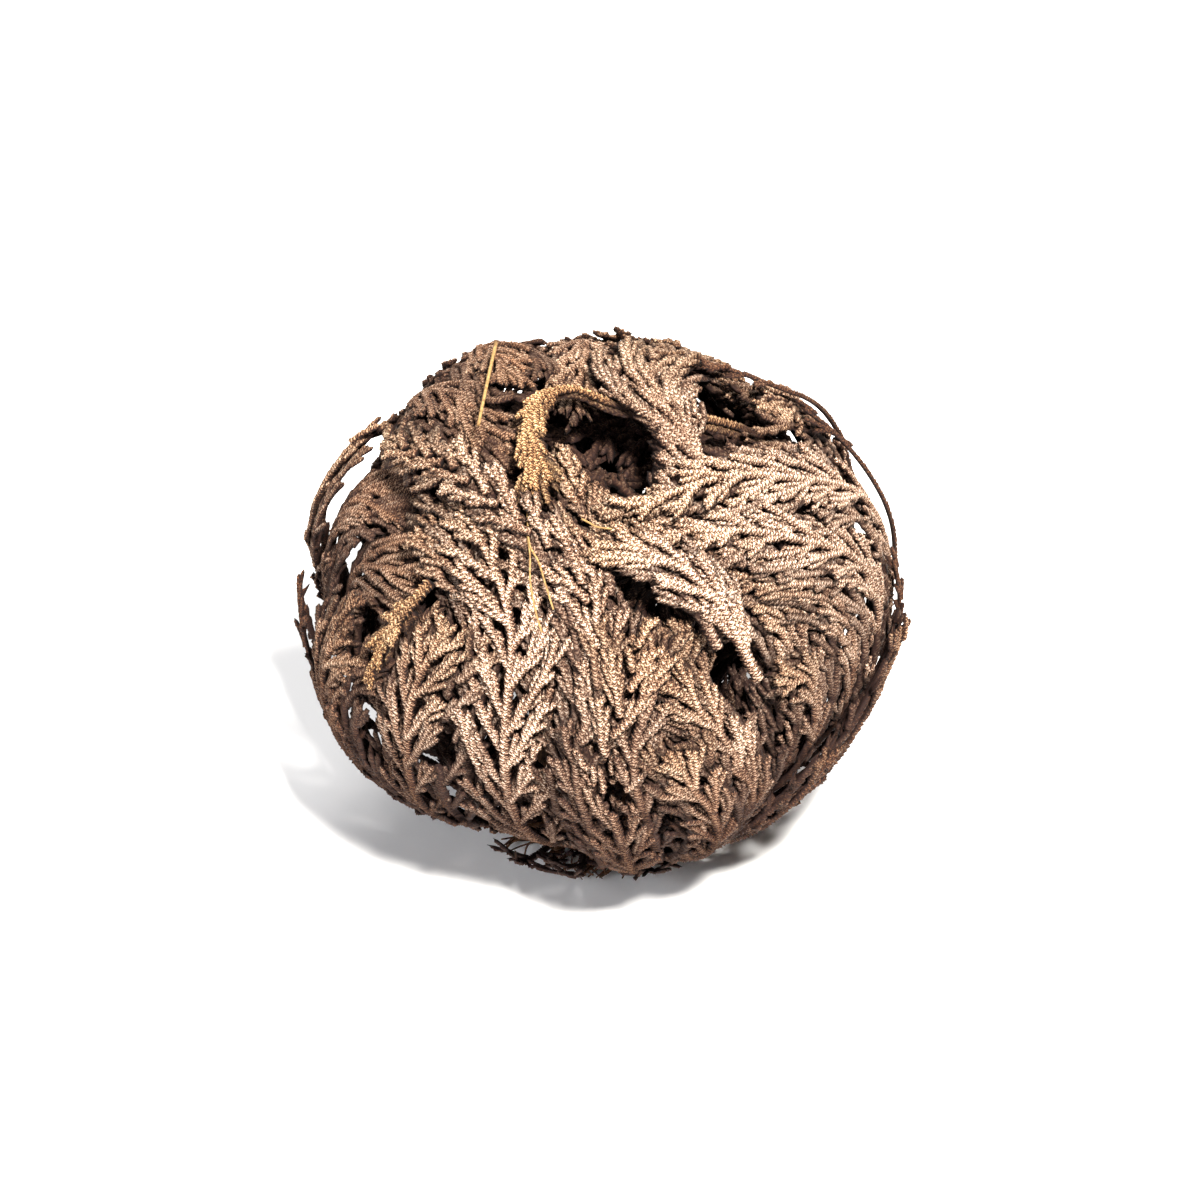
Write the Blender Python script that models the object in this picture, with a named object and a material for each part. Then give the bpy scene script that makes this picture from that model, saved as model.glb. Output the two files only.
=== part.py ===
"""Rose of Jericho: a dried resurrection plant, curled up into a ball on its crown.

Every frond leaves the crown at the bottom, runs up round the ball and curls in at the top.
Lengths are in millimetres and angles in degrees, and are turned to metres as the meshes are made.
The origin is the centre of the crown's flat underside. +Z is up and -Y is the front.
"""

import math
from dataclasses import dataclass

import bmesh
import bpy
import numpy as np
from mathutils import Vector

MM = 0.001

# Ball
BALL_WIDTH = 96.0
BALL_DEPTH = 94.0
BALL_HEIGHT = 86.0
CENTRE_HEIGHT = BALL_HEIGHT / 2
MEAN_RADIUS = (BALL_WIDTH + BALL_HEIGHT) / 4

# Bulges (rise above zero) and dimples (below): azimuth, height angle, spread in degrees and rise
SWELLINGS = [
    (-58, -14, 24, 2.2),
    (-130, 40, 30, 1.8),
    (6, 64, 16, -2.5),
    (30, 10, 18, -1.2),
]

# Fronds
FROND_THICKNESS = 1.5
LOBE_PITCH = 9.0
LOBE_NOTCH = 0.68
LOBE_SWEEP = 0.55
STALK_HALF_WIDTH = 1.5
TIP_HALF_WIDTH = 0.9
STALK_SHARE = 0.22
LOOSE_STALK_SHARE = 0.05
SHOULDER_SHARE = 0.2
TIP_SHARE = 0.3
ROUTE_STEPS = 12

# Crown: radius and height of each turn of its profile
CROWN_PROFILE = [(15.0, 0.0), (15.6, 2.4), (14.9, 4.6), (13.6, 8.2), (12.3, 11.8), (11.0, 15.4), (8.5, 19.0),
                 (4.0, 21.0)]
CROWN_SIDES = 24
CROWN_RIDGES = 7
CROWN_RIDGE_HEIGHT = 0.35

# Roots and straw
ROOT_RADIUS = 0.8
ROOT_TIP_SHARE = 0.45
STRAW_RADIUS = 0.45
ROUND_STEPS = 1
SMOOTH_ANGLE = math.radians(50)


@dataclass
class Frond:
    """One frond: its name, its half-width and the route of its midrib from the crown to the tip.

    A stop on the route is (azimuth, height angle, depth below the ball's surface). Azimuth 0 is the
    front and 90 is the right side; height angle -90 is the bottom and 90 is the top. Fronds that
    cross keep at least 2 mm between their depths.
    """

    name: str
    half_width: float
    route: list
    dead: bool = False


FRONDS = [
    # Front
    Frond("frond_front_fan", 5.5, [(10, -70, 0), (8, -45, 0), (4, -20, 0), (1, -3, 0), (1, 9, 0),
                                   (4, 18, 0), (6, 26, 0), (8, 34, 0)]),
    Frond("frond_long_diagonal", 4.5, [(5, -70, 2), (7, -45, 2), (6, -25, 2), (1, -8, 2), (-1, 8, 2),
                                       (0, 20, 2), (-1, 32, 2), (-6, 44, 1.5), (-18, 51, 0), (-40, 56, 0),
                                       (-65, 56, 0), (-85, 49, 0), (-98, 42, 0)]),
    Frond("frond_front_left", 8.5, [(-12, -70, 4), (-16, -45, 4), (-20, -20, 4), (-21, 0, 4), (-21, 17, 4),
                                    (-22, 30, 4), (-27, 40, 3), (-36, 47, 2), (-48, 51, 2), (-62, 53, 2)]),
    Frond("frond_front_middle", 5.0, [(-4, -70, 6), (-3, -45, 6), (-3, -25, 6), (-7, -8, 6), (-11, 5, 6),
                                      (-12, 16, 6), (-12, 26, 6), (-13, 34, 6), (-17, 42, 6), (-26, 49, 6)]),
    Frond("frond_right_diagonal", 5.0, [(30, -70, 2), (34, -40, 2), (33, -18, 2), (29, -6, 2), (25, 4, 2),
                                        (21, 12, 2), (17, 18, 2), (11, 26, 2)]),
    Frond("frond_front_right", 4.5, [(16, -70, 4), (18, -40, 4), (20, -18, 4), (18, -3, 4), (15, 4, 4),
                                     (12, 11, 4), (10, 19, 4)]),
    Frond("frond_low_right", 5.0, [(24, -70, 0), (26, -45, 0), (25, -25, 0), (22, -13, 0), (18, -5, 0),
                                   (15, 2, 0), (12, 8, 0)]),
    Frond("frond_low_fan", 3.0, [(10, -70, 6), (10, -40, 6), (10, -20, 6), (9, -3, 6), (8, 6, 6),
                                 (7, 14, 6)]),
    Frond("frond_inner_right", 5.0, [(24, -70, 6), (28, -45, 6), (27, -20, 6), (23, 0, 6), (21, 12, 6),
                                     (20, 22, 6), (20, 30, 5), (19, 36, 4.5)]),
    Frond("frond_broken", 4.0, [(33, 18, 0), (30, 27, 0), (27, 37, 0), (21, 45, 0), (12, 50, 0), (2, 53, 0)]),
    # Right
    Frond("frond_right_fan", 7.0, [(55, -70, 6), (60, -45, 6), (56, -20, 6), (53, -5, 6), (52, 8, 6),
                                   (53, 18, 6), (53, 26, 6), (49, 34, 6), (42, 40, 6)]),
    Frond("frond_right_fan_low", 6.0, [(50, -70, 8), (54, -45, 8), (53, -15, 8), (51, 5, 8), (49, 14, 8),
                                       (43, 21, 8), (36, 27, 8), (31, 31, 8)]),
    Frond("frond_right_ledge", 3.5, [(44, -70, 4), (48, -40, 4), (52, -10, 4), (50, 6, 4), (45, 12, 4),
                                     (37, 15, 4)]),
    Frond("frond_right_inner", 5.5, [(65, -70, 4), (70, -40, 4), (68, -10, 4), (68, 8, 4), (64, 22, 4),
                                     (54, 34, 4), (43, 42, 4), (32, 46, 4)]),
    Frond("frond_right_sweep", 5.5, [(80, -70, 2), (82, -40, 2), (78, -10, 2), (79, 8, 2), (75, 24, 2),
                                     (61, 38, 2), (50, 46, 2), (34, 52, 2), (16, 55, 2), (-6, 56, 2)]),
    Frond("frond_right_crest", 5.5, [(92, -70, 0), (95, -40, 0), (93, -10, 0), (95, 12, 0), (92, 28, 0),
                                     (82, 41, 0), (72, 49, 0), (60, 56, 0), (45, 60, 0), (25, 61, 0),
                                     (6, 60, 0)]),
    Frond("frond_right_shoulder", 6.0, [(106, -70, 4), (108, -40, 4), (105, -10, 4), (107, 12, 4),
                                        (106, 30, 4), (98, 43, 4), (86, 52, 4), (72, 57, 4)]),
    # Top
    Frond("frond_top_fan", 8.0, [(42, -70, 12), (42, -40, 12), (44, 0, 12), (46, 30, 11), (47, 48, 7),
                                 (50, 60, 3), (56, 69, 1), (78, 78, 0), (122, 79, 0), (146, 71, 0),
                                 (151, 63, 0)]),
    Frond("frond_top_centre", 6.0, [(2, -70, 8), (4, -40, 8), (5, 0, 8), (4, 30, 8), (1, 45, 6),
                                    (-4, 54, 5), (-9, 62, 4), (-17, 70, 3), (-26, 75, 2.5)]),
    Frond("frond_top_arch", 2.4, [(114, -70, 6), (114, -30, 6), (112, 20, 6), (106, 50, 6), (92, 73, 4),
                                  (60, 86, 2), (-100, 85, 0.5), (-88, 79, 0), (-64, 74, 0), (-44, 70, 0),
                                  (-33, 66, 0)]),
    # Left
    Frond("frond_left_front", 6.5, [(-46, -70, 2), (-46, -40, 2), (-43, -18, 2), (-42, -5, 2), (-41, 10, 2),
                                    (-39, 20, 2), (-37, 30, 2)]),
    Frond("frond_left_reach", 6.0, [(-30, -70, 8), (-32, -40, 8), (-33, -10, 8), (-33, 15, 8), (-34, 28, 6),
                                    (-38, 36, 5), (-46, 41, 4), (-58, 44, 4), (-70, 44, 4)]),
    Frond("frond_left_lobe", 7.0, [(-58, -70, 0), (-60, -45, 0), (-64, -22, 0), (-67, -8, 0), (-66, 4, 0),
                                   (-61, 13, 0)]),
    Frond("frond_left_side", 8.0, [(-78, -70, 6), (-82, -40, 6), (-84, -10, 6), (-84, 8, 6), (-80, 18, 6),
                                   (-70, 26, 6), (-58, 32, 6), (-50, 36, 6)]),
    Frond("frond_left_back", 6.0, [(-94, -70, 2), (-96, -40, 2), (-95, -10, 2), (-96, 15, 2), (-93, 30, 3),
                                   (-84, 40, 6), (-74, 46, 8)]),
    Frond("frond_left_edge", 3.0, [(-108, -70, 0), (-112, -40, -0.5), (-107, -10, -1.5),
                                   (-101, 10, -2.2), (-102, 25, -2.2), (-108, 36, -1)]),
    Frond("frond_left_curl", 2.2, [(-44, 36, 0), (-47, 28, 0), (-50, 20, 0), (-51, 15, 0)]),
    # Back of the top
    Frond("frond_shoulder_low", 6.0, [(-118, -70, 4), (-122, -40, 4), (-120, 0, 4), (-114, 30, 4),
                                      (-104, 46, 4), (-88, 56, 4), (-68, 61, 5), (-54, 62, 6)]),
    Frond("frond_shoulder_middle", 6.0, [(-130, -70, 2), (-133, -40, 2), (-131, 0, 2), (-128, 30, 2),
                                         (-120, 48, 2), (-104, 60, 2), (-80, 66, 3), (-62, 67, 4)]),
    Frond("frond_shoulder_high", 6.0, [(-147, -70, 0), (-150, -40, 0), (-149, 0, 0), (-146, 35, 0),
                                       (-138, 55, 0), (-120, 68, 0), (-104, 72, 0)]),
    Frond("frond_top_back", 7.0, [(-172, -70, 2), (-174, -30, 2), (-174, 20, 2), (-174, 55, 2),
                                  (-168, 72, 2.5), (-140, 82, 4), (-70, 85, 5)]),
    Frond("frond_top_back_inner", 7.0, [(-158, -70, 4), (-160, -30, 4), (-161, 20, 4), (-162, 50, 4),
                                        (-160, 68, 5)]),
    # Back
    Frond("frond_back_right", 6.5, [(122, -70, 0), (124, -40, 0), (124, -5, 0), (121, 25, 0), (113, 46, 0),
                                    (102, 58, 1)]),
    Frond("frond_back_mid_right", 6.5, [(138, -70, 2), (140, -40, 2), (141, -5, 2), (140, 28, 2),
                                        (136, 48, 2)]),
    Frond("frond_back_middle", 6.0, [(154, -70, 0), (156, -40, 0), (157, -5, 0), (158, 30, 0), (160, 52, 0)]),
    Frond("frond_back_wide", 6.5, [(171, -70, 0), (173, -40, 0), (175, -5, 0), (177, 28, 0), (180, 50, 0)]),
    Frond("frond_back_under_right", 6.0, [(130, -70, 4), (132, -40, 4), (133, 0, 4), (131, 35, 4),
                                          (124, 56, 4)]),
    Frond("frond_back_under", 6.0, [(146, -70, 4), (148, -40, 4), (149, 0, 4), (150, 35, 4), (152, 58, 4)]),
    Frond("frond_back_under_left", 6.5, [(164, -70, 4), (166, -40, 4), (167, 0, 4), (168, 35, 4),
                                         (172, 60, 5)]),
    # Inner fronds, seen through the gaps
    Frond("frond_inner_front", 12.0, [(-9, -70, 10), (-10, -40, 10), (-11, 0, 10), (-9, 30, 10), (-4, 50, 11),
                                     (2, 64, 13), (20, 76, 15)]),
    Frond("frond_inner_front_left", 12.0, [(-60, -70, 10), (-61, -40, 10), (-62, 0, 10), (-61, 30, 10),
                                          (-56, 50, 11), (-44, 64, 13)]),
    Frond("frond_inner_left", 12.0, [(-112, -70, 10), (-112, -40, 10), (-113, 0, 10), (-112, 30, 10),
                                    (-108, 52, 11), (-98, 68, 13)]),
    Frond("frond_inner_back_left", 12.0, [(-166, -70, 10), (-166, -40, 10), (-166, 0, 10), (-164, 34, 10),
                                         (-160, 58, 11), (-150, 74, 13)]),
    Frond("frond_inner_back_right", 12.0, [(138, -70, 10), (138, -40, 10), (138, 0, 10), (136, 34, 10),
                                          (130, 56, 11), (118, 70, 13)]),
    Frond("frond_inner_right_side", 12.0, [(88, -70, 10), (88, -40, 10), (88, 0, 10), (86, 30, 10),
                                          (80, 50, 11), (68, 64, 13)]),
    # Outward tips at the right foot
    Frond("frond_foot_right", 3.8, [(54, -70, 0), (58, -48, 0), (64, -32, 0), (71, -18, 0), (77, -8, -1),
                                    (82, 2, -3)]),
    Frond("frond_foot_front", 3.2, [(38, -70, 0), (40, -50, 0), (44, -36, 0), (49, -24, 0), (55, -14, 0)]),
    # Dead fronds
    Frond("dead_frond_left_high", 2.2, [(-72, -70, 2), (-80, -42, 0), (-83, -15, -1), (-86, 0, -2),
                                        (-89, 9, -3)], dead=True),
    Frond("dead_frond_left_low", 2.2, [(-86, -70, 0), (-88, -42, -0.5), (-90, -20, -1.2), (-93, -3, -2.2)],
          dead=True),
    Frond("dead_frond_right", 2.2, [(78, -70, -1), (84, -35, -1.5), (88, -10, -1.5), (89, 5, -1.5),
                                    (88, 14, -1.4)], dead=True),
    Frond("dead_frond_right_high", 2.4, [(118, -70, -1.5), (120, -35, -1.5), (121, 0, -1.8),
                                         (119, 30, -2.1), (113, 50, -2), (118, 60, -1.6),
                                         (128, 67, -1.2)], dead=True),
    Frond("dead_frond_right_arc", 2.2, [(101, -70, -1.5), (103, -35, -1.8), (101, 0, -2), (99, 22, -2.2),
                                        (102, 36, -2.2), (108, 47, -1.8)], dead=True),
    Frond("dead_frond_front_left", 3.0, [(-30, -70, -0.8), (-28, -57, -1.2), (-26, -46, -1.2)], dead=True),
    Frond("dead_frond_front", 3.0, [(-9, -70, -0.8), (-8, -57, -1.4), (-10, -44, -1.6)], dead=True),
    Frond("dead_frond_front_right", 3.0, [(17, -70, -1.2), (17, -57, -1.6), (18, -46, -1.6)], dead=True),
]

# Roots: azimuth, distance from the middle and height of each bend
ROOTS = {
    "root_front_left": [(-24, 16.4, 1.1), (-27, 19.5, 1.0), (-23, 22.5, 0.9)],
    "root_front": [(2, 16.4, 1.1), (5, 19.5, 1.0), (0, 22.5, 0.9)],
    "root_back": [(170, 16.4, 1.1), (166, 19.5, 1.0), (173, 23.0, 0.9)],
}

STRAW_ENDS = [(-128, 65, -2.4), (-70, 65, -0.8)]


def clear_scene():
    """Removes the objects that the file opened with."""
    for thing in list(bpy.data.objects):
        bpy.data.objects.remove(thing, do_unlink=True)


def make_material(name, colour, roughness):
    """A Principled BSDF with one colour."""
    material = bpy.data.materials.new(name)
    material.use_nodes = True
    shader = material.node_tree.nodes["Principled BSDF"]
    shader.inputs["Base Color"].default_value = (*colour, 1.0)
    shader.inputs["Roughness"].default_value = roughness
    shader.inputs["Metallic"].default_value = 0.0
    return material


def unit(azimuth, height):
    """The direction from the ball's centre of an azimuth and a height angle."""
    a, h = math.radians(azimuth), math.radians(height)
    return np.array([math.sin(a) * math.cos(h), -math.cos(a) * math.cos(h), math.sin(h)])


def swelling(direction):
    """How far the ball stands out in a direction beyond its plain egg shape."""
    rise = 0.0
    for azimuth, height, spread, swell in SWELLINGS:
        away = math.degrees(math.acos(np.clip(direction.dot(unit(azimuth, height)), -1.0, 1.0)))
        rise += swell * math.exp(-((away / spread) ** 2))
    return rise


def on_ball(direction, depth):
    """The point a depth below the ball's surface, in a direction from its centre."""
    d = direction / np.linalg.norm(direction)
    half = np.array([BALL_WIDTH / 2, BALL_DEPTH / 2, BALL_HEIGHT / 2]) + swelling(d) - depth
    return half * d + (0.0, 0.0, CENTRE_HEIGHT)


def catmull_rom(stops, steps):
    """A smooth curve through the stops, with some steps between each two."""
    padded = np.vstack([2 * stops[0] - stops[1], stops, 2 * stops[-1] - stops[-2]])
    points = []
    for i in range(len(stops) - 1):
        a, b, c, d = padded[i : i + 4]
        for t in np.linspace(0, 1, steps, endpoint=False):
            square, cube = t * t, t * t * t
            bend = (2 * a - 5 * b + 4 * c - d) * square + (3 * b - a - 3 * c + d) * cube
            points.append(0.5 * (2 * b + (c - a) * t + bend))
    points.append(stops[-1])
    return np.array(points)


def midrib(route, pitch):
    """Directions and depths at even steps of about the pitch along a frond's route."""
    stops = np.array([[*unit(azimuth, height), depth] for azimuth, height, depth in route])
    curve = catmull_rom(stops, ROUTE_STEPS)
    places = np.array([on_ball(p[:3], p[3]) for p in curve])
    along = np.concatenate([[0], np.cumsum(np.linalg.norm(np.diff(places, axis=0), axis=1))])
    count = max(4, round(along[-1] / pitch))
    wanted = np.linspace(0, along[-1], count + 1)
    even = np.column_stack([np.interp(wanted, along, curve[:, k]) for k in range(4)])
    even[:, :3] /= np.linalg.norm(even[:, :3], axis=1)[:, None]
    return even


def half_width_at(share, frond):
    """A frond's half-width at a share of its length: a stalk, a full blade, then a narrow tip."""
    from_crown = frond.route[0][1] < -50
    stalk = STALK_SHARE if from_crown else LOOSE_STALK_SHARE
    grow = np.clip((share - stalk) / SHOULDER_SHARE, 0.0, 1.0)
    fade = min(1.0, (1.0 - share) / TIP_SHARE)
    blade = STALK_HALF_WIDTH + (frond.half_width - STALK_HALF_WIDTH) * math.sin(grow * math.pi / 2)
    return TIP_HALF_WIDTH + (blade - TIP_HALF_WIDTH) * math.sin(fade * math.pi / 2) ** 0.8


def frond_rings(frond):
    """A frond's cross-sections: left edge, outer side of the midrib, right edge and inner side."""
    line = midrib(frond.route, LOBE_PITCH / 2)
    rings = []
    last = len(line) - 1
    for i, (x, y, z, depth) in enumerate(line):
        centre = np.array([x, y, z])
        ahead = line[min(i + 1, last), :3] - line[max(i - 1, 0), :3]
        ahead -= centre * ahead.dot(centre)
        ahead /= np.linalg.norm(ahead)
        aside = np.cross(centre, ahead)
        inside = 0 < i < last
        notch = LOBE_NOTCH if inside and i % 2 == 0 else 1.0
        width = half_width_at(i / last, frond) * notch / MEAN_RADIUS
        sweep = ahead * LOBE_SWEEP * width if inside else 0.0
        middle = depth + FROND_THICKNESS / 2
        rings.append([
            on_ball(centre + aside * width + sweep, middle),
            on_ball(centre, depth),
            on_ball(centre - aside * width + sweep, middle),
            on_ball(centre, depth + FROND_THICKNESS),
        ])
    return rings


def solid_from_rings(name, rings, material, plant):
    """One closed mesh from cross-sections of equal size, with flat ends and its origin at its foot."""
    foot = np.mean(rings[0], axis=0)
    shape = bmesh.new()
    loops = [[shape.verts.new(Vector(point - foot) * MM) for point in ring] for ring in rings]
    shape.faces.new(reversed(loops[0]))
    shape.faces.new(loops[-1])
    for low, high in zip(loops, loops[1:]):
        for k in range(len(low)):
            after = (k + 1) % len(low)
            shape.faces.new([low[k], low[after], high[after], high[k]])
    mesh = bpy.data.meshes.new(name)
    shape.to_mesh(mesh)
    shape.free()
    mesh.materials.append(material)
    thing = bpy.data.objects.new(name, mesh)
    thing.location = Vector(foot) * MM
    thing.parent = plant
    bpy.context.scene.collection.objects.link(thing)
    return thing


def round_stalk(name, points, radius, tip_share, material, plant):
    """A round stalk along a line of points, made by a bevelled curve with filled caps."""
    curve = bpy.data.curves.new(name, "CURVE")
    curve.dimensions = "3D"
    curve.bevel_depth = radius * MM
    curve.bevel_resolution = ROUND_STEPS
    curve.use_fill_caps = True
    curve.materials.append(material)
    line = curve.splines.new("POLY")
    line.points.add(len(points) - 1)
    for place, point in enumerate(points):
        line.points[place].co = (*(Vector(point - points[0]) * MM), 1.0)
        line.points[place].radius = 1.0 - (1.0 - tip_share) * place / (len(points) - 1)
    thing = bpy.data.objects.new(name, curve)
    thing.location = Vector(points[0]) * MM
    thing.parent = plant
    bpy.context.scene.collection.objects.link(thing)
    return thing


def make_frond(frond, material, plant):
    """A frond: a curved blade with a midrib and lobed edges."""
    return solid_from_rings(frond.name, frond_rings(frond), material, plant)


def make_crown(material, plant):
    """The woody crown that the fronds grow from, ridged round its side and flat underneath."""
    rings = []
    for radius, height in CROWN_PROFILE:
        ring = []
        for turn in np.linspace(0, 2 * math.pi, CROWN_SIDES, endpoint=False):
            reach = radius + CROWN_RIDGE_HEIGHT * (math.cos(CROWN_RIDGES * turn) - 1) / 2
            ring.append(np.array([reach * math.cos(turn), reach * math.sin(turn), height]))
        rings.append(ring)
    crown = solid_from_rings("crown", rings, material, plant)
    crown.data.shade_smooth()
    crown.data.set_sharp_from_angle(angle=SMOOTH_ANGLE)
    return crown


def make_root(name, bends, material, plant):
    """One woody root that leaves the crown and lies along the ground."""
    stops = []
    for azimuth, reach, height in bends:
        a = math.radians(azimuth)
        stops.append([reach * math.sin(a), -reach * math.cos(a), height])
    return round_stalk(name, catmull_rom(np.array(stops), 4), ROOT_RADIUS, ROOT_TIP_SHARE, material, plant)


def make_straw(material, plant):
    """The loose stalk of straw caught on the left shoulder."""
    ends = np.array([on_ball(unit(azimuth, height), depth - STRAW_RADIUS)
                     for azimuth, height, depth in STRAW_ENDS])
    return round_stalk("straw", ends, STRAW_RADIUS, 1.0, material, plant)


def main():
    """Builds the whole plant."""
    clear_scene()
    plant = bpy.data.objects.new("rose_of_jericho", None)
    bpy.context.scene.collection.objects.link(plant)
    dry = make_material("dry_frond", (0.47, 0.33, 0.22), 0.85)
    dead = make_material("dead_frond", (0.13, 0.06, 0.03), 0.9)
    woody = make_material("woody_crown", (0.10, 0.055, 0.03), 0.9)
    wiry = make_material("wiry_root", (0.09, 0.045, 0.025), 0.85)
    straw = make_material("straw", (0.55, 0.38, 0.18), 0.6)
    make_crown(woody, plant)
    for frond in FRONDS:
        make_frond(frond, dead if frond.dead else dry, plant)
    for name, bends in ROOTS.items():
        make_root(name, bends, wiry, plant)
    make_straw(straw, plant)


main()
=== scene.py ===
"""Rose of Jericho: the looks of a dried resurrection plant that stands on a pale studio floor.

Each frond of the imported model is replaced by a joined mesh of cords: a midrib, side branches that
leave it to the left and right by turns, and short blunt fingers on each side branch. Every cord is
wrapped in small overlapping scale leaves, plaited in four rows as on the living plant.
Lengths are in millimetres and angles in degrees, and turn to metres where a mesh is made.
"""

import logging
import math
from dataclasses import dataclass, field
from enum import Enum

import bpy
import numpy as np
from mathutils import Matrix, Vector


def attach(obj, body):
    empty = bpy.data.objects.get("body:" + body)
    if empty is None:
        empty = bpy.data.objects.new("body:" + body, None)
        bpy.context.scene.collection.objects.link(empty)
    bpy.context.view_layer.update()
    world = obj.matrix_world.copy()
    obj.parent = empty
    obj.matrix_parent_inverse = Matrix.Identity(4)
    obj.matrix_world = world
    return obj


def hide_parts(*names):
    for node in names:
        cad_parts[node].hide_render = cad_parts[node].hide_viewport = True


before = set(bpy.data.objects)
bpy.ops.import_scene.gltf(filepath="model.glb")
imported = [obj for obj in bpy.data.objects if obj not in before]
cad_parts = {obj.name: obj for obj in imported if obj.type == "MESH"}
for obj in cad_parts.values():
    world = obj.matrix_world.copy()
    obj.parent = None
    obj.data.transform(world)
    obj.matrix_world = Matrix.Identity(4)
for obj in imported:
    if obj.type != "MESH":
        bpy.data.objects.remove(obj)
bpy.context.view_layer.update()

LOG = logging.getLogger("rose_of_jericho")
MM = 0.001
SEED = 1807

Stop = tuple[float, float, float]


class Slot(Enum):
    """The record's material slots."""

    DRY_FROND = "dry_frond"
    DEAD_FROND = "dead_frond"
    WOODY_CROWN = "woody_crown"
    WIRY_ROOT = "wiry_root"
    STRAW = "straw"


class Look(Enum):
    """How a frond has aged: its brownness, its yellow-olive share and its darkness, from 0 to 1."""

    PALE = (0.0, 0.0, 0.0)
    TAN = (0.25, 0.05, 0.1)
    BROWN = (0.6, 0.0, 0.3)
    OLIVE = (0.1, 0.85, 0.0)
    DEAD = (1.0, 0.0, 0.6)


def linear(code: str) -> tuple[float, float, float, float]:
    """Turns an sRGB hex colour to linear light.

    Args:
        code: the colour as six hex digits with a leading hash sign.

    Returns:
        Linear red, green and blue, and an alpha of 1.
    """
    values = [int(code[i : i + 2], 16) / 255 for i in (1, 3, 5)]
    light = [v / 12.92 if v <= 0.04045 else ((v + 0.055) / 1.055) ** 2.4 for v in values]
    return (*light, 1.0)


def add_node(tree: bpy.types.NodeTree, kind: str, settings: dict | None = None,
             links: dict | None = None) -> bpy.types.Node:
    """Adds one shader node with its settings and its links.

    Args:
        tree: the node tree that the node goes into.
        kind: the node's type name.
        settings: values by property name, or by input socket name or number.
        links: output sockets by the name or number of the input that each feeds.

    Returns:
        The new node.
    """
    node = tree.nodes.new(kind)
    for key, value in (settings or {}).items():
        if isinstance(key, str) and hasattr(node, key):
            setattr(node, key, value)
        else:
            node.inputs[key].default_value = value
    for key, source in (links or {}).items():
        tree.links.new(source, node.inputs[key])
    return node


def new_material(name: str) -> tuple[bpy.types.Material, bpy.types.NodeTree, bpy.types.Node]:
    """Starts a node material.

    Args:
        name: the material's name.

    Returns:
        The material, its node tree and its Principled BSDF.
    """
    material = bpy.data.materials.new(name)
    material.use_nodes = True
    tree = material.node_tree
    return material, tree, tree.nodes["Principled BSDF"]


def set_ramp(node: bpy.types.Node, stops: list[tuple[float, str]]) -> None:
    """Sets the colours of a colour ramp.

    Args:
        node: the ColorRamp node.
        stops: position and hex colour of each stop.
    """
    ramp = node.color_ramp
    while len(ramp.elements) < len(stops):
        ramp.elements.new(0.5)
    for element, (position, code) in zip(ramp.elements, stops):
        element.position = position
        element.color = linear(code)


# Finishes


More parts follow.
